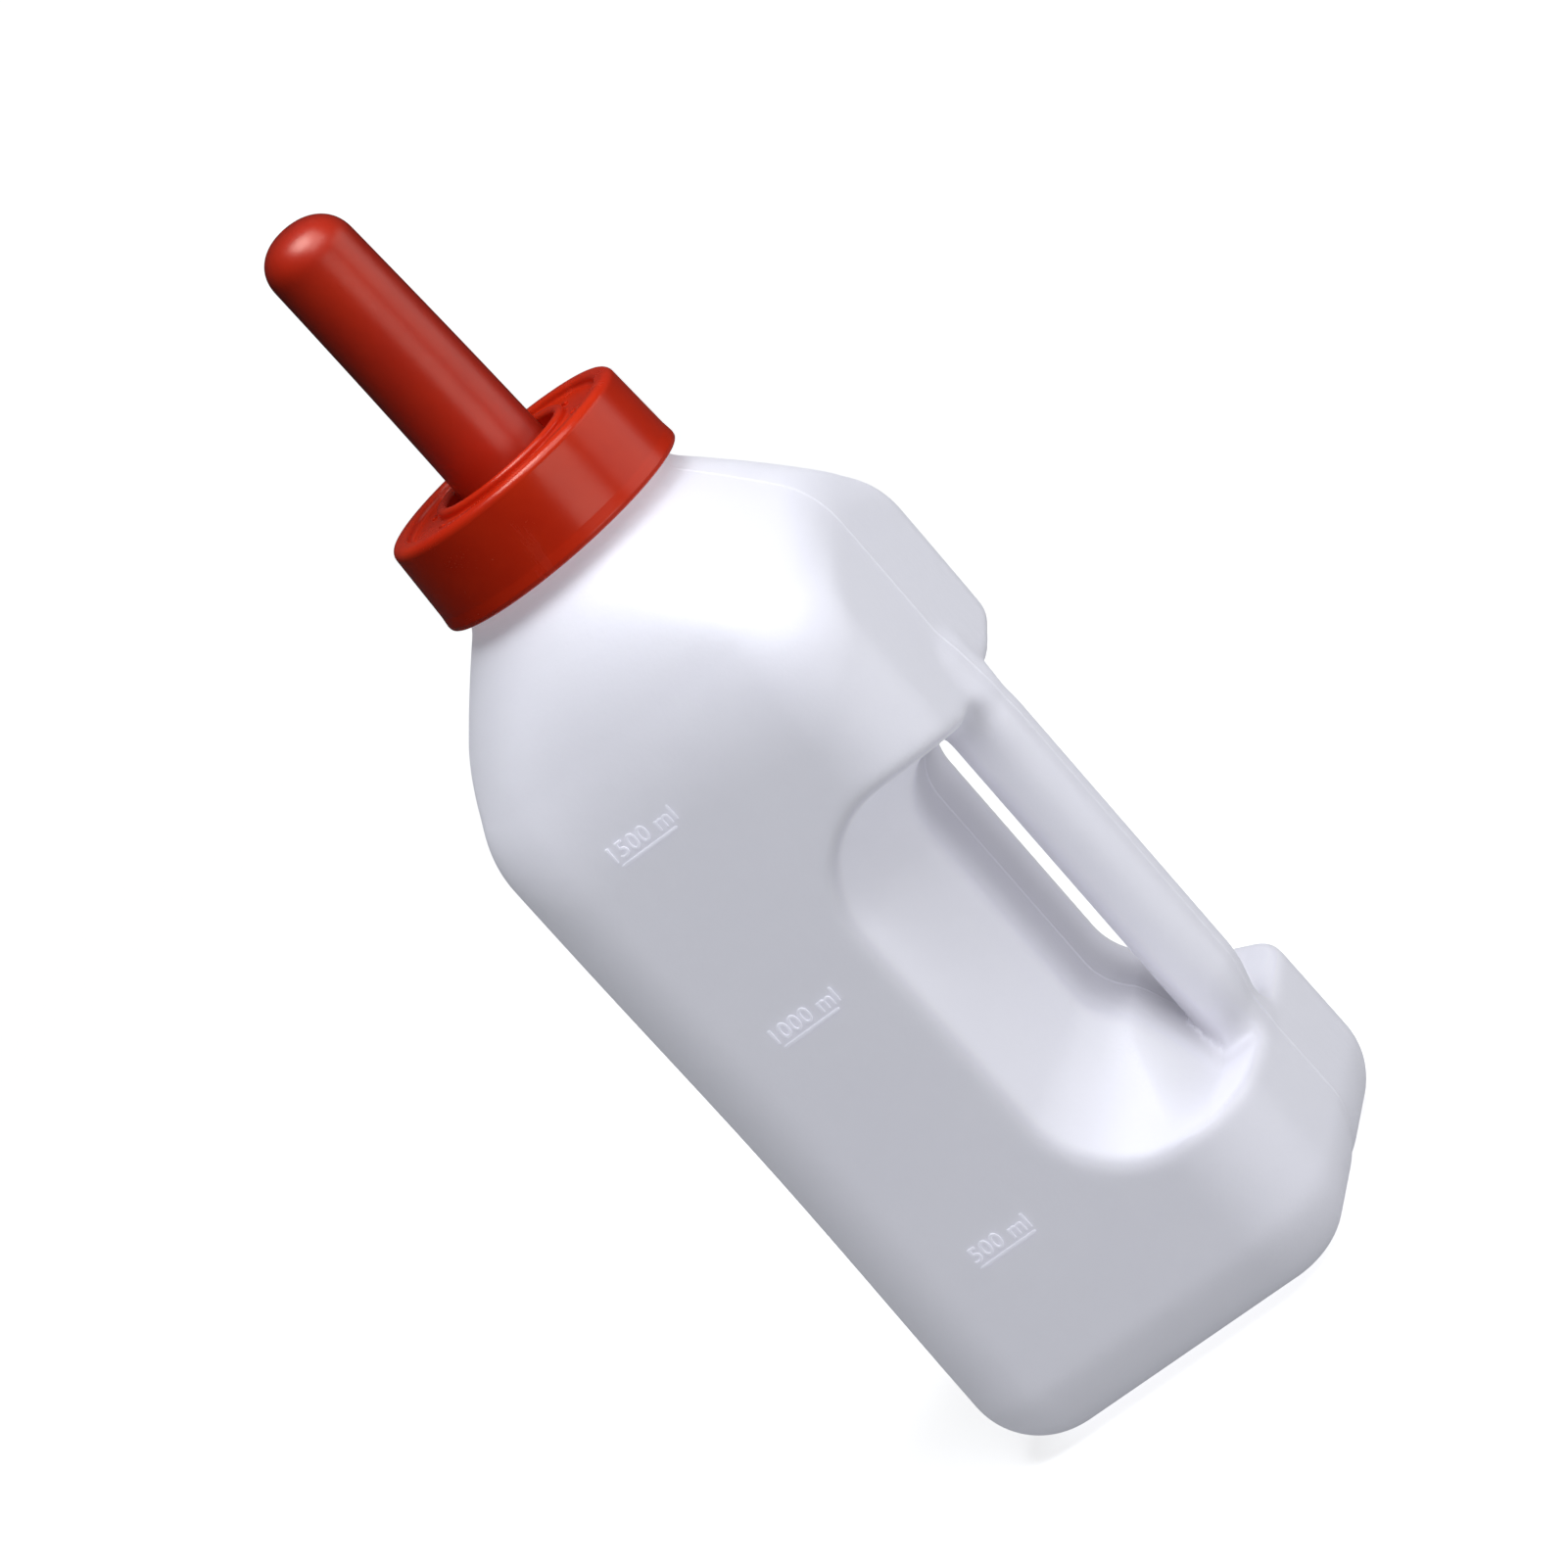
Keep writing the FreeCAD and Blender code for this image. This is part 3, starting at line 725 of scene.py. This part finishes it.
def mark_numerals(text, z):
    """Raised writing just above the bar at height z."""
    curve = bpy.data.curves.new("numerals", "FONT")
    curve.body = text
    curve.size = NUMERAL_SIZE * MM
    curve.extrude = (MARK_PROUD + MARK_SINK) / 2 * MM
    curve.bevel_depth = NUMERAL_BEVEL * MM
    curve.bevel_resolution = 1
    curve.space_character = NUMERAL_SPACING
    curve.align_x = "CENTER"
    curve.resolution_u = NUMERAL_CURVE_STEPS
    writing = place("numerals", curve)
    mesh = evaluated_mesh(writing)
    bpy.data.objects.remove(writing)
    middle = (MARK_PROUD - MARK_SINK) / 2 * MM
    for v in mesh.vertices:
        u, w, out = v.co
        v.co = (MARK_MIDDLE_X * MM + u, middle + out, (z + NUMERAL_LIFT) * MM + w)
    work = bmesh.new()
    work.from_mesh(mesh)
    bmesh.ops.remove_doubles(work, verts=work.verts, dist=NUMERAL_WELD * MM)
    work.to_mesh(mesh)
    work.free()
    return on_front_face(place("numerals", mesh))


def join(name, things):
    """One object from several closed meshes, with all their faces turned outward."""
    work = bmesh.new()
    for thing in things:
        work.from_mesh(thing.data)
        bpy.data.objects.remove(thing)
    bmesh.ops.recalc_face_normals(work, faces=work.faces)
    mesh = bpy.data.meshes.new(name)
    work.to_mesh(mesh)
    work.free()
    return place(name, mesh)


def level_marks_piece():
    things = []
    for z, text in zip(MARK_HEIGHTS, MARK_TEXTS):
        things.append(mark_line(z))
        things.append(mark_numerals(text, z))
    thing = join("level_marks", things)
    store_openness(thing)
    return soft_edges(thing, MARKS_CRISP)


def tick(angle):
    """Small raised bar on the collar's plate, its length across the radius."""
    rings = []
    for scale, height in TICK_RINGS:
        ring = []
        for k in range(TICK_SIDES):
            a = 2 * math.pi * k / TICK_SIDES
            c, s = (math.copysign(abs(f) ** TICK_SQUARENESS, f) for f in (math.cos(a), math.sin(a)))
            across = c * TICK_LENGTH / 2 * scale
            r = TICK_RADIUS + s * TICK_WIDTH / 2 * scale
            x = r * math.cos(angle) - across * math.sin(angle)
            y = r * math.sin(angle) + across * math.cos(angle)
            ring.append((x, y, COLLAR_PLATE_TOP + height))
        rings.append(ring)
    return stack_rings("tick", rings)


def collar_piece():
    thing = lathe("collar", section_line(COLLAR_SECTION))
    start = NECK_THREAD_START + THREAD_PITCH / 2
    combine(thing, thread_ridge("ridge", COLLAR_BORE_R, -1, start, COLLAR_THREAD_TURNS), "UNION")
    for i in range(TICK_COUNT):
        combine(thing, tick(2 * math.pi * i / TICK_COUNT), "UNION")
    return soft_edges(thing, COLLAR_CRISP)


def dome(radius, height, spring, steps):
    """Blunt end from the side wall in to the tip hole, as (r, z) points."""
    points = []
    last = math.acos(min(1.0, TEAT_HOLE_R / radius))
    for k in range(steps + 1):
        a = last * k / steps
        r = radius * math.cos(a) ** TEAT_BLUNT
        z = spring + height * math.sin(a) ** TEAT_BLUNT
        points.append((max(r, TEAT_HOLE_R), z))
    return points


def rod(name, middle_x, r, low, high):
    """Upright solid cylinder standing at (middle_x, 0)."""
    turns = [2 * math.pi * k / ROD_SIDES for k in range(ROD_SIDES)]
    rim = [(middle_x + r * math.cos(a), r * math.sin(a)) for a in turns]
    return stack_rings(name, [[(x, y, z) for x, y in rim] for z in (low, high)])


def teat_section():
    """Closed half section of the hollow teat with its flange."""
    low = TEAT_LOW[2]
    flange_top = low + FLANGE_THICKNESS
    height = TEAT_NECK_R * TEAT_DOME
    spring = TEAT_HIGH[2] - height
    section = [
        (TEAT_BASE_R - TEAT_WALL, low),
        (FLANGE_R - FLANGE_EDGE_LOW, low),
        (FLANGE_R, low + FLANGE_EDGE),
        (FLANGE_R, flange_top - FLANGE_EDGE),
        (FLANGE_R - FLANGE_EDGE, flange_top),
    ]
    section += [(TEAT_BASE_R + out, flange_top + up) for out, up in TEAT_FOOT]
    foot_top = section[-1][1]
    for k in range(1, TEAT_SIDE_STEPS):
        t = k / TEAT_SIDE_STEPS
        section.append((mix(TEAT_BASE_R, TEAT_NECK_R, t), mix(foot_top, spring, t)))
    section += dome(TEAT_NECK_R, height, spring, TEAT_DOME_STEPS)
    bore_height = height - TEAT_TIP_WALL + TEAT_BORE_DOME_HIGHER
    bore_dome = dome(TEAT_NECK_R - TEAT_WALL, bore_height, spring, TEAT_BORE_DOME_STEPS)
    section += reversed(bore_dome)
    for k in range(1, TEAT_BORE_STEPS):
        t = k / TEAT_BORE_STEPS
        section.append((mix(TEAT_NECK_R, TEAT_BASE_R, t) - TEAT_WALL, mix(spring, low, t)))
    return section


def teat_piece():
    """Teat with the vent's pocket and air way cut in its flange, leaning towards its tip."""
    thing = lathe("teat_visual", teat_section())
    low, top = TEAT_LOW[2], TEAT_HIGH[2]
    flange_top = low + FLANGE_THICKNESS
    for x, r, cut_top in (
        (VENT_X, VENT_POCKET_R, low + VENT_POCKET_DEPTH),
        (AIR_WAY_X, AIR_WAY_R, flange_top + CUT_OVERLAP),
    ):
        combine(thing, rod("cut", x, r, low - CUT_OVERLAP, cut_top), "DIFFERENCE")
    for v in thing.data.vertices:
        along = max(0.0, v.co.z / MM - flange_top) / (top - flange_top)
        lean = TEAT_BEND * along**TEAT_BEND_POWER
        v.co.x -= lean * MM * math.cos(TEAT_BEND_FROM)
        v.co.y -= lean * MM * math.sin(TEAT_BEND_FROM)
    return soft_edges(thing, TEAT_CRISP)


# ---------------------------------------------------------------- materials


class Nodes:
    """Short way to write a node tree."""

    def __init__(self, tree):
        self.tree = tree
        tree.nodes.clear()

    def add(self, kind, inputs=None, **settings):
        node = self.tree.nodes.new(kind)
        for key, value in settings.items():
            setattr(node, key, value)
        for key, value in (inputs or {}).items():
            if isinstance(value, bpy.types.NodeSocket):
                self.tree.links.new(value, node.inputs[key])
            else:
                node.inputs[key].default_value = value
        return node

    def noise(self, where, scale, detail, rough):
        inputs = {"Vector": where, "Scale": scale, "Detail": detail, "Roughness": rough}
        return self.add("ShaderNodeTexNoise", inputs).outputs["Fac"]

    def remap(self, value, low, high, out_low, out_high):
        inputs = {0: value, 1: low, 2: high, 3: out_low, 4: out_high}
        return self.add("ShaderNodeMapRange", inputs, clamp=True).outputs[0]

    def blend(self, amount, a, b):
        node = self.add("ShaderNodeMix", data_type="RGBA")
        for key, value in (("Factor", amount), ("A", a), ("B", b)):
            socket = [s for s in node.inputs if s.name == key and s.enabled][0]
            if isinstance(value, bpy.types.NodeSocket):
                self.tree.links.new(value, socket)
            else:
                socket.default_value = value
        return [s for s in node.outputs if s.enabled][0]

    def maths(self, operation, a, b):
        return self.add("ShaderNodeMath", {0: a, 1: b}, operation=operation).outputs[0]

    def stretched(self, where, x, y, z):
        return self.add("ShaderNodeMapping", {0: where, 3: (x, y, z)}).outputs[0]


def srgb(r, g, b):
    """Linear colour with alpha from 0-255 display values."""
    out = []
    for c in (r, g, b):
        c /= 255
        out.append(c / 12.92 if c <= 0.04045 else ((c + 0.055) / 1.055) ** 2.4)
    return (*out, 1.0)


def surface(name, looks):
    """Procedural plastic or rubber: mottled colour, uneven gloss, fine grain, specks, scuffs; where
    a look asks for them also painted light: darker silhouette edges as painted shade, an emission
    that paints in light shining through the wall, and painted shade in hollows.
    """
    looks = {**PLAIN, **looks}
    material = bpy.data.materials.new(name)
    material.use_nodes = True
    n = Nodes(material.node_tree)
    where = n.add("ShaderNodeTexCoord").outputs["Object"]
    cloud = n.noise(where, looks["cloud_scale"], *CLOUD_NOISE)
    grain = n.noise(where, looks["grain_scale"], *GRAIN_NOISE)
    fine = n.noise(where, looks["grain_scale"] * FINE_SCALE, *FINE_NOISE)
    scuff = n.noise(n.stretched(where, *SCUFF_STRETCH), looks["scuff_scale"], *SCUFF_NOISE)
    scuffed = n.remap(scuff, *SCUFF_LEVELS, 0.0, 1.0)
    speck_cells = n.add("ShaderNodeTexVoronoi", {"Vector": where, "Scale": looks["speck_scale"]})
    speck_pick = n.add("ShaderNodeSeparateColor", {0: speck_cells.outputs["Color"]}).outputs[0]
    near = n.remap(speck_cells.outputs["Distance"], *SPECK_LEVELS, 1.0, 0.0)
    speck = n.maths("MULTIPLY", near, n.maths("GREATER_THAN", speck_pick, looks["speck_rarity"]))
    cloudy = n.remap(cloud, *CLOUD_LEVELS, 0.0, 1.0)
    colour = n.blend(cloudy, looks["colour"], looks["colour_b"])
    colour = n.blend(n.maths("MULTIPLY", scuffed, looks["scuff_mix"]), colour, looks["scuff"])
    colour = n.blend(n.maths("MULTIPLY", speck, looks["speck_mix"]), colour, looks["speck"])
    # Painted shade: the colour turns dark towards the silhouette, where the surface faces away from
    # the camera.
    if "edge" in looks:
        facing = n.add("ShaderNodeLayerWeight", {"Blend": looks["edge"]}).outputs["Facing"]
        colour = n.blend(facing, colour, looks["painted_edge_shade_colour"])
    # Painted light: an emission adds light as if it shone through the translucent wall, weaker
    # where the openness is low.
    painted_glow = looks["painted_glow"]
    if painted_glow:
        openness = n.add("ShaderNodeAttribute", attribute_name="openness").outputs["Fac"]
        painted_glow = n.maths("MULTIPLY", openness, painted_glow)
        # Painted shade: where the openness is low, in the hand recess and other hollows, the colour
        # is darkened towards the speck colour.
        hollow = n.maths("MULTIPLY", n.maths("SUBTRACT", 1.0, openness), looks["hollow"])
        colour = n.blend(hollow, colour, looks["speck"])
    uneven = n.maths("ADD", cloud, n.maths("MULTIPLY", fine, FINE_SHARE))
    rough = n.remap(uneven, *GLOSS_LEVELS, *looks["roughness"])
    rough = n.maths("ADD", rough, n.maths("MULTIPLY", scuffed, looks["scuff_rough"]))
    inputs = {"Strength": 1.0, "Distance": looks["grain_depth"] * MM, "Height": grain}
    coarse_bump = n.add("ShaderNodeBump", inputs)
    inputs = {
        "Strength": 1.0,
        "Distance": looks["fine_depth"] * MM,
        "Height": n.maths("SUBTRACT", fine, n.maths("MULTIPLY", speck, SPECK_HEIGHT)),
        "Normal": coarse_bump.outputs[0],
    }
    bump = n.add("ShaderNodeBump", inputs)
    inputs = {
        "Base Color": colour,
        "Roughness": rough,
        "Normal": bump.outputs[0],
        "IOR": PLASTIC_IOR,
        "Subsurface Weight": looks["inner"],
        "Subsurface Radius": WHITE[:3],
        "Subsurface Scale": looks["inner_reach"] * MM,
        "Specular IOR Level": looks["specular"],
        "Specular Tint": looks["shine"],
        "Emission Color": looks["glow_colour"],
        "Emission Strength": painted_glow,
    }
    shader = n.add("ShaderNodeBsdfPrincipled", inputs).outputs[0]
    n.add("ShaderNodeOutputMaterial", {"Surface": shader})
    return material


# Unless a look says otherwise: no scattering inside, plain shine, no painted light from emission
PLAIN = {
    "inner": 0.0,
    "inner_reach": 1.0,
    "specular": 0.5,
    "shine": WHITE,
    "painted_glow": 0.0,
    "glow_colour": WHITE,
}
# Scales are per metre and depths in millimetres
LOOKS = {
    "bottle_plastic": {
        "colour": srgb(227, 225, 234),
        "colour_b": srgb(223, 221, 231),
        "scuff": srgb(236, 235, 238),
        # The speck colour is also the colour of the painted shade in hollows.
        "speck": srgb(120, 116, 110),
        "cloud_scale": 22.0,
        "grain_scale": 260.0,
        "grain_depth": 0.10,
        "fine_depth": 0.012,
        "scuff_scale": 45.0,
        "scuff_mix": 0.25,
        "scuff_rough": 0.07,
        "speck_scale": 75.0,
        "speck_rarity": 0.985,
        "speck_mix": 0.55,
        "roughness": (0.44, 0.52),
        "specular": 0.8,
        "inner": 0.5,
        "inner_reach": 5.0,
        # Painted light: an emission that stands in for light shining through the milky wall.
        "painted_glow": 0.28,
        # Painted shade in hollows, towards the speck colour.
        "hollow": 0.35,
        "glow_colour": (0.92, 0.945, 1.04, 1.0),
    },
    "collar_plastic": {
        "colour": srgb(214, 48, 16),
        "colour_b": srgb(203, 39, 11),
        "specular": 0.65,
        "shine": (1.0, 0.74, 0.64, 1.0),
        "scuff": srgb(214, 84, 66),
        "speck": srgb(240, 150, 130),
        "cloud_scale": 40.0,
        "grain_scale": 420.0,
        "grain_depth": 0.03,
        "fine_depth": 0.006,
        "scuff_scale": 90.0,
        "scuff_mix": 0.14,
        "scuff_rough": 0.12,
        "speck_scale": 260.0,
        "speck_rarity": 0.93,
        "speck_mix": 0.6,
        "roughness": (0.20, 0.28),
    },
    "teat_rubber": {
        "colour": srgb(206, 44, 16),
        "colour_b": srgb(194, 35, 12),
        "specular": 1.0,
        "shine": (1.0, 0.74, 0.64, 1.0),
        # Painted shade: the silhouette edges darken towards the next colour.
        "edge": 0.2,
        "painted_edge_shade_colour": srgb(70, 6, 2),
        "scuff": srgb(190, 70, 56),
        "speck": srgb(214, 120, 104),
        "cloud_scale": 35.0,
        "grain_scale": 330.0,
        "grain_depth": 0.05,
        "fine_depth": 0.010,
        "scuff_scale": 70.0,
        "scuff_mix": 0.3,
        "scuff_rough": 0.10,
        "speck_scale": 240.0,
        "speck_rarity": 0.95,
        "speck_mix": 0.4,
        "roughness": (0.30, 0.38),
    },
    "valve_plastic": {
        "colour": srgb(236, 236, 232),
        "colour_b": srgb(228, 228, 222),
        "scuff": srgb(214, 212, 204),
        "speck": srgb(170, 166, 156),
        "cloud_scale": 60.0,
        "grain_scale": 500.0,
        "grain_depth": 0.04,
        "fine_depth": 0.008,
        "scuff_scale": 120.0,
        "scuff_mix": 0.4,
        "scuff_rough": 0.12,
        "speck_scale": 300.0,
        "speck_rarity": 0.97,
        "speck_mix": 0.5,
        "roughness": (0.36, 0.48),
    },
    "ball_plastic": {
        "colour": srgb(240, 240, 240),
        "colour_b": srgb(234, 234, 236),
        "scuff": srgb(220, 220, 218),
        "speck": srgb(190, 190, 186),
        "cloud_scale": 90.0,
        "grain_scale": 700.0,
        "grain_depth": 0.012,
        "fine_depth": 0.004,
        "scuff_scale": 160.0,
        "scuff_mix": 0.4,
        "scuff_rough": 0.12,
        "speck_scale": 400.0,
        "speck_rarity": 0.97,
        "speck_mix": 0.4,
        "roughness": (0.14, 0.22),
    },
    "seal_rubber": {
        "colour": srgb(206, 206, 200),
        "colour_b": srgb(196, 196, 190),
        "scuff": srgb(180, 178, 170),
        "speck": srgb(140, 138, 130),
        "cloud_scale": 60.0,
        "grain_scale": 600.0,
        "grain_depth": 0.05,
        "fine_depth": 0.010,
        "scuff_scale": 120.0,
        "scuff_mix": 0.4,
        "scuff_rough": 0.10,
        "speck_scale": 300.0,
        "speck_rarity": 0.96,
        "speck_mix": 0.5,
        "roughness": (0.5, 0.62),
        "inner": 0.3,
        "inner_reach": 2.0,
    },
}
LOOKS["level_marks"] = {
    **LOOKS["bottle_plastic"],
    "colour": srgb(231, 229, 238),
    "colour_b": srgb(228, 226, 235),
    # Painted light: a slightly stronger emission than on the bottle.
    "painted_glow": 0.29,
}
MATERIALS = {name: surface(name, looks) for name, looks in LOOKS.items()}


def dress(thing, look):
    """Gives the object one material."""
    thing.data.materials.clear()
    thing.data.materials.append(MATERIALS[look])
    return thing


def add_piece(thing, body, slot, *nodes, look=None):
    """Dresses a new piece, rides it on its body and puts it in place of CAD nodes."""
    dress(thing, look or slot)
    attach(thing, body)
    if nodes:
        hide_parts(*nodes)


add_piece(bottle_piece(), "bottle", "bottle_plastic", "bottle_body")
add_piece(level_marks_piece(), "bottle", "bottle_plastic", look="level_marks")
add_piece(collar_piece(), "collar", "collar_plastic", "screw_collar")
add_piece(teat_piece(), "cap_stack", "teat_rubber", "teat")
for node, slot in (
    ("seal_ring", "seal_rubber"),
    ("valve_plate", "valve_plastic"),
    ("ball_cage", "valve_plastic"),
    ("valve_ball", "ball_plastic"),
    ("vent_valve", "seal_rubber"),
):
    dress(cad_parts[node], slot)


# ---------------------------------------------------------------- floor, light and camera


def floor_material():
    """Pale matt floor: bright to the camera, darker in what it throws back on the object."""
    material = bpy.data.materials.new("floor")
    material.use_nodes = True
    n = Nodes(material.node_tree)
    where = n.add("ShaderNodeTexCoord").outputs["Object"]
    inputs = {
        "Strength": FLOOR_GRAIN_STRENGTH,
        "Distance": FLOOR_GRAIN_DEPTH * MM,
        "Height": n.noise(where, FLOOR_GRAIN_SCALE, *CLOUD_NOISE),
    }
    bump = n.add("ShaderNodeBump", inputs)
    seen = n.add("ShaderNodeLightPath").outputs["Is Camera Ray"]
    inputs = {
        "Base Color": n.blend(seen, FLOOR_BOUNCE, FLOOR_SEEN),
        "Roughness": FLOOR_ROUGHNESS,
        "Normal": bump.outputs[0],
        "Specular IOR Level": FLOOR_SPECULAR,
    }
    shader = n.add("ShaderNodeBsdfPrincipled", inputs).outputs[0]
    away = n.add("ShaderNodeVectorMath", {0: where}, operation="LENGTH").outputs["Value"]
    strength = n.remap(away, *FLOOR_LIFT_GROWS, *FLOOR_LIFT)
    lift = n.add("ShaderNodeEmission", {"Color": FLOOR_SEEN, "Strength": strength})
    only_seen = n.add("ShaderNodeMixShader", {0: seen, 2: lift.outputs[0]}).outputs[0]
    whole = n.add("ShaderNodeAddShader", {0: shader, 1: only_seen}).outputs[0]
    n.add("ShaderNodeOutputMaterial", {"Surface": whole})
    return material


def floor():
    mesh = bpy.data.meshes.new("floor")
    corners = [(x * FLOOR_SIZE, y * FLOOR_SIZE, 0) for x, y in ((-1, -1), (1, -1), (1, 1), (-1, 1))]
    mesh.from_pydata(corners, [], [(0, 1, 2, 3)])
    mesh.materials.append(floor_material())
    place("floor", mesh)


def direction(azimuth, elevation):
    """Unit vector from the object outward."""
    a, e = math.radians(azimuth), math.radians(elevation)
    return Vector((math.sin(a) * math.cos(e), -math.cos(a) * math.cos(e), math.sin(e)))


def lamp(name, azimuth, elevation, distance, width, height, power, tint=(1, 1, 1)):
    """Rectangular soft light that faces the bottle's middle and is not seen itself."""
    light = bpy.data.lights.new(name, "AREA")
    light.shape = "RECTANGLE"
    light.size = width
    light.size_y = height
    light.energy = power
    light.color = tint
    thing = place(name, light)
    aim = Vector((0, 0, NECK_TOP / 2 * MM))
    towards = direction(azimuth, elevation)
    thing.location = aim + towards * distance
    thing.rotation_euler = towards.to_track_quat("Z", "Y").to_euler()
    thing.visible_camera = False


def world_light():
    """Weak light from all round, stronger from +X and from above."""
    world = bpy.data.worlds.new("studio")
    bpy.context.scene.world = world
    world.use_nodes = True
    n = Nodes(world.node_tree)
    where = n.add("ShaderNodeTexCoord").outputs["Generated"]
    side = n.add("ShaderNodeSeparateXYZ", {0: where})
    across = n.remap(side.outputs[0], *WORLD_ACROSS_GROWS, *WORLD_ACROSS)
    up = n.remap(side.outputs[2], *WORLD_UP_GROWS, *WORLD_UP)
    strength = n.maths("MULTIPLY", across, up)
    sky = n.add("ShaderNodeBackground", {"Color": WORLD_TINT, "Strength": strength})
    n.add("ShaderNodeOutputWorld", {"Surface": sky.outputs[0]})


def camera():
    """Slightly above the bottle, turned towards the handle side, and rolled."""
    azimuth, roll = math.radians(CAMERA_AZIMUTH), math.radians(CAMERA_ROLL)
    back = direction(CAMERA_AZIMUTH, CAMERA_RISE)
    level = Vector((math.cos(azimuth), math.sin(azimuth), 0))
    upright = back.cross(level)
    right = level * math.cos(roll) - upright * math.sin(roll)
    up = level * math.sin(roll) + upright * math.cos(roll)
    eye = Vector((0, 0, CAMERA_TARGET_Z)) + back * CAMERA_DISTANCE
    data = bpy.data.cameras.new("camera")
    data.sensor_width = CAMERA_SENSOR
    data.lens = CAMERA_LENS
    data.shift_x, data.shift_y = CAMERA_SHIFT
    data.clip_end = CAMERA_SEES_TO
    thing = place("camera", data)
    turned = Matrix((right, up, back)).transposed().to_4x4()
    thing.matrix_world = Matrix.Translation(eye) @ turned
    bpy.context.scene.camera = thing


floor()
world_light()
for settings in LAMPS:
    lamp(*settings)
camera()
bpy.context.scene.view_settings.view_transform = "Standard"
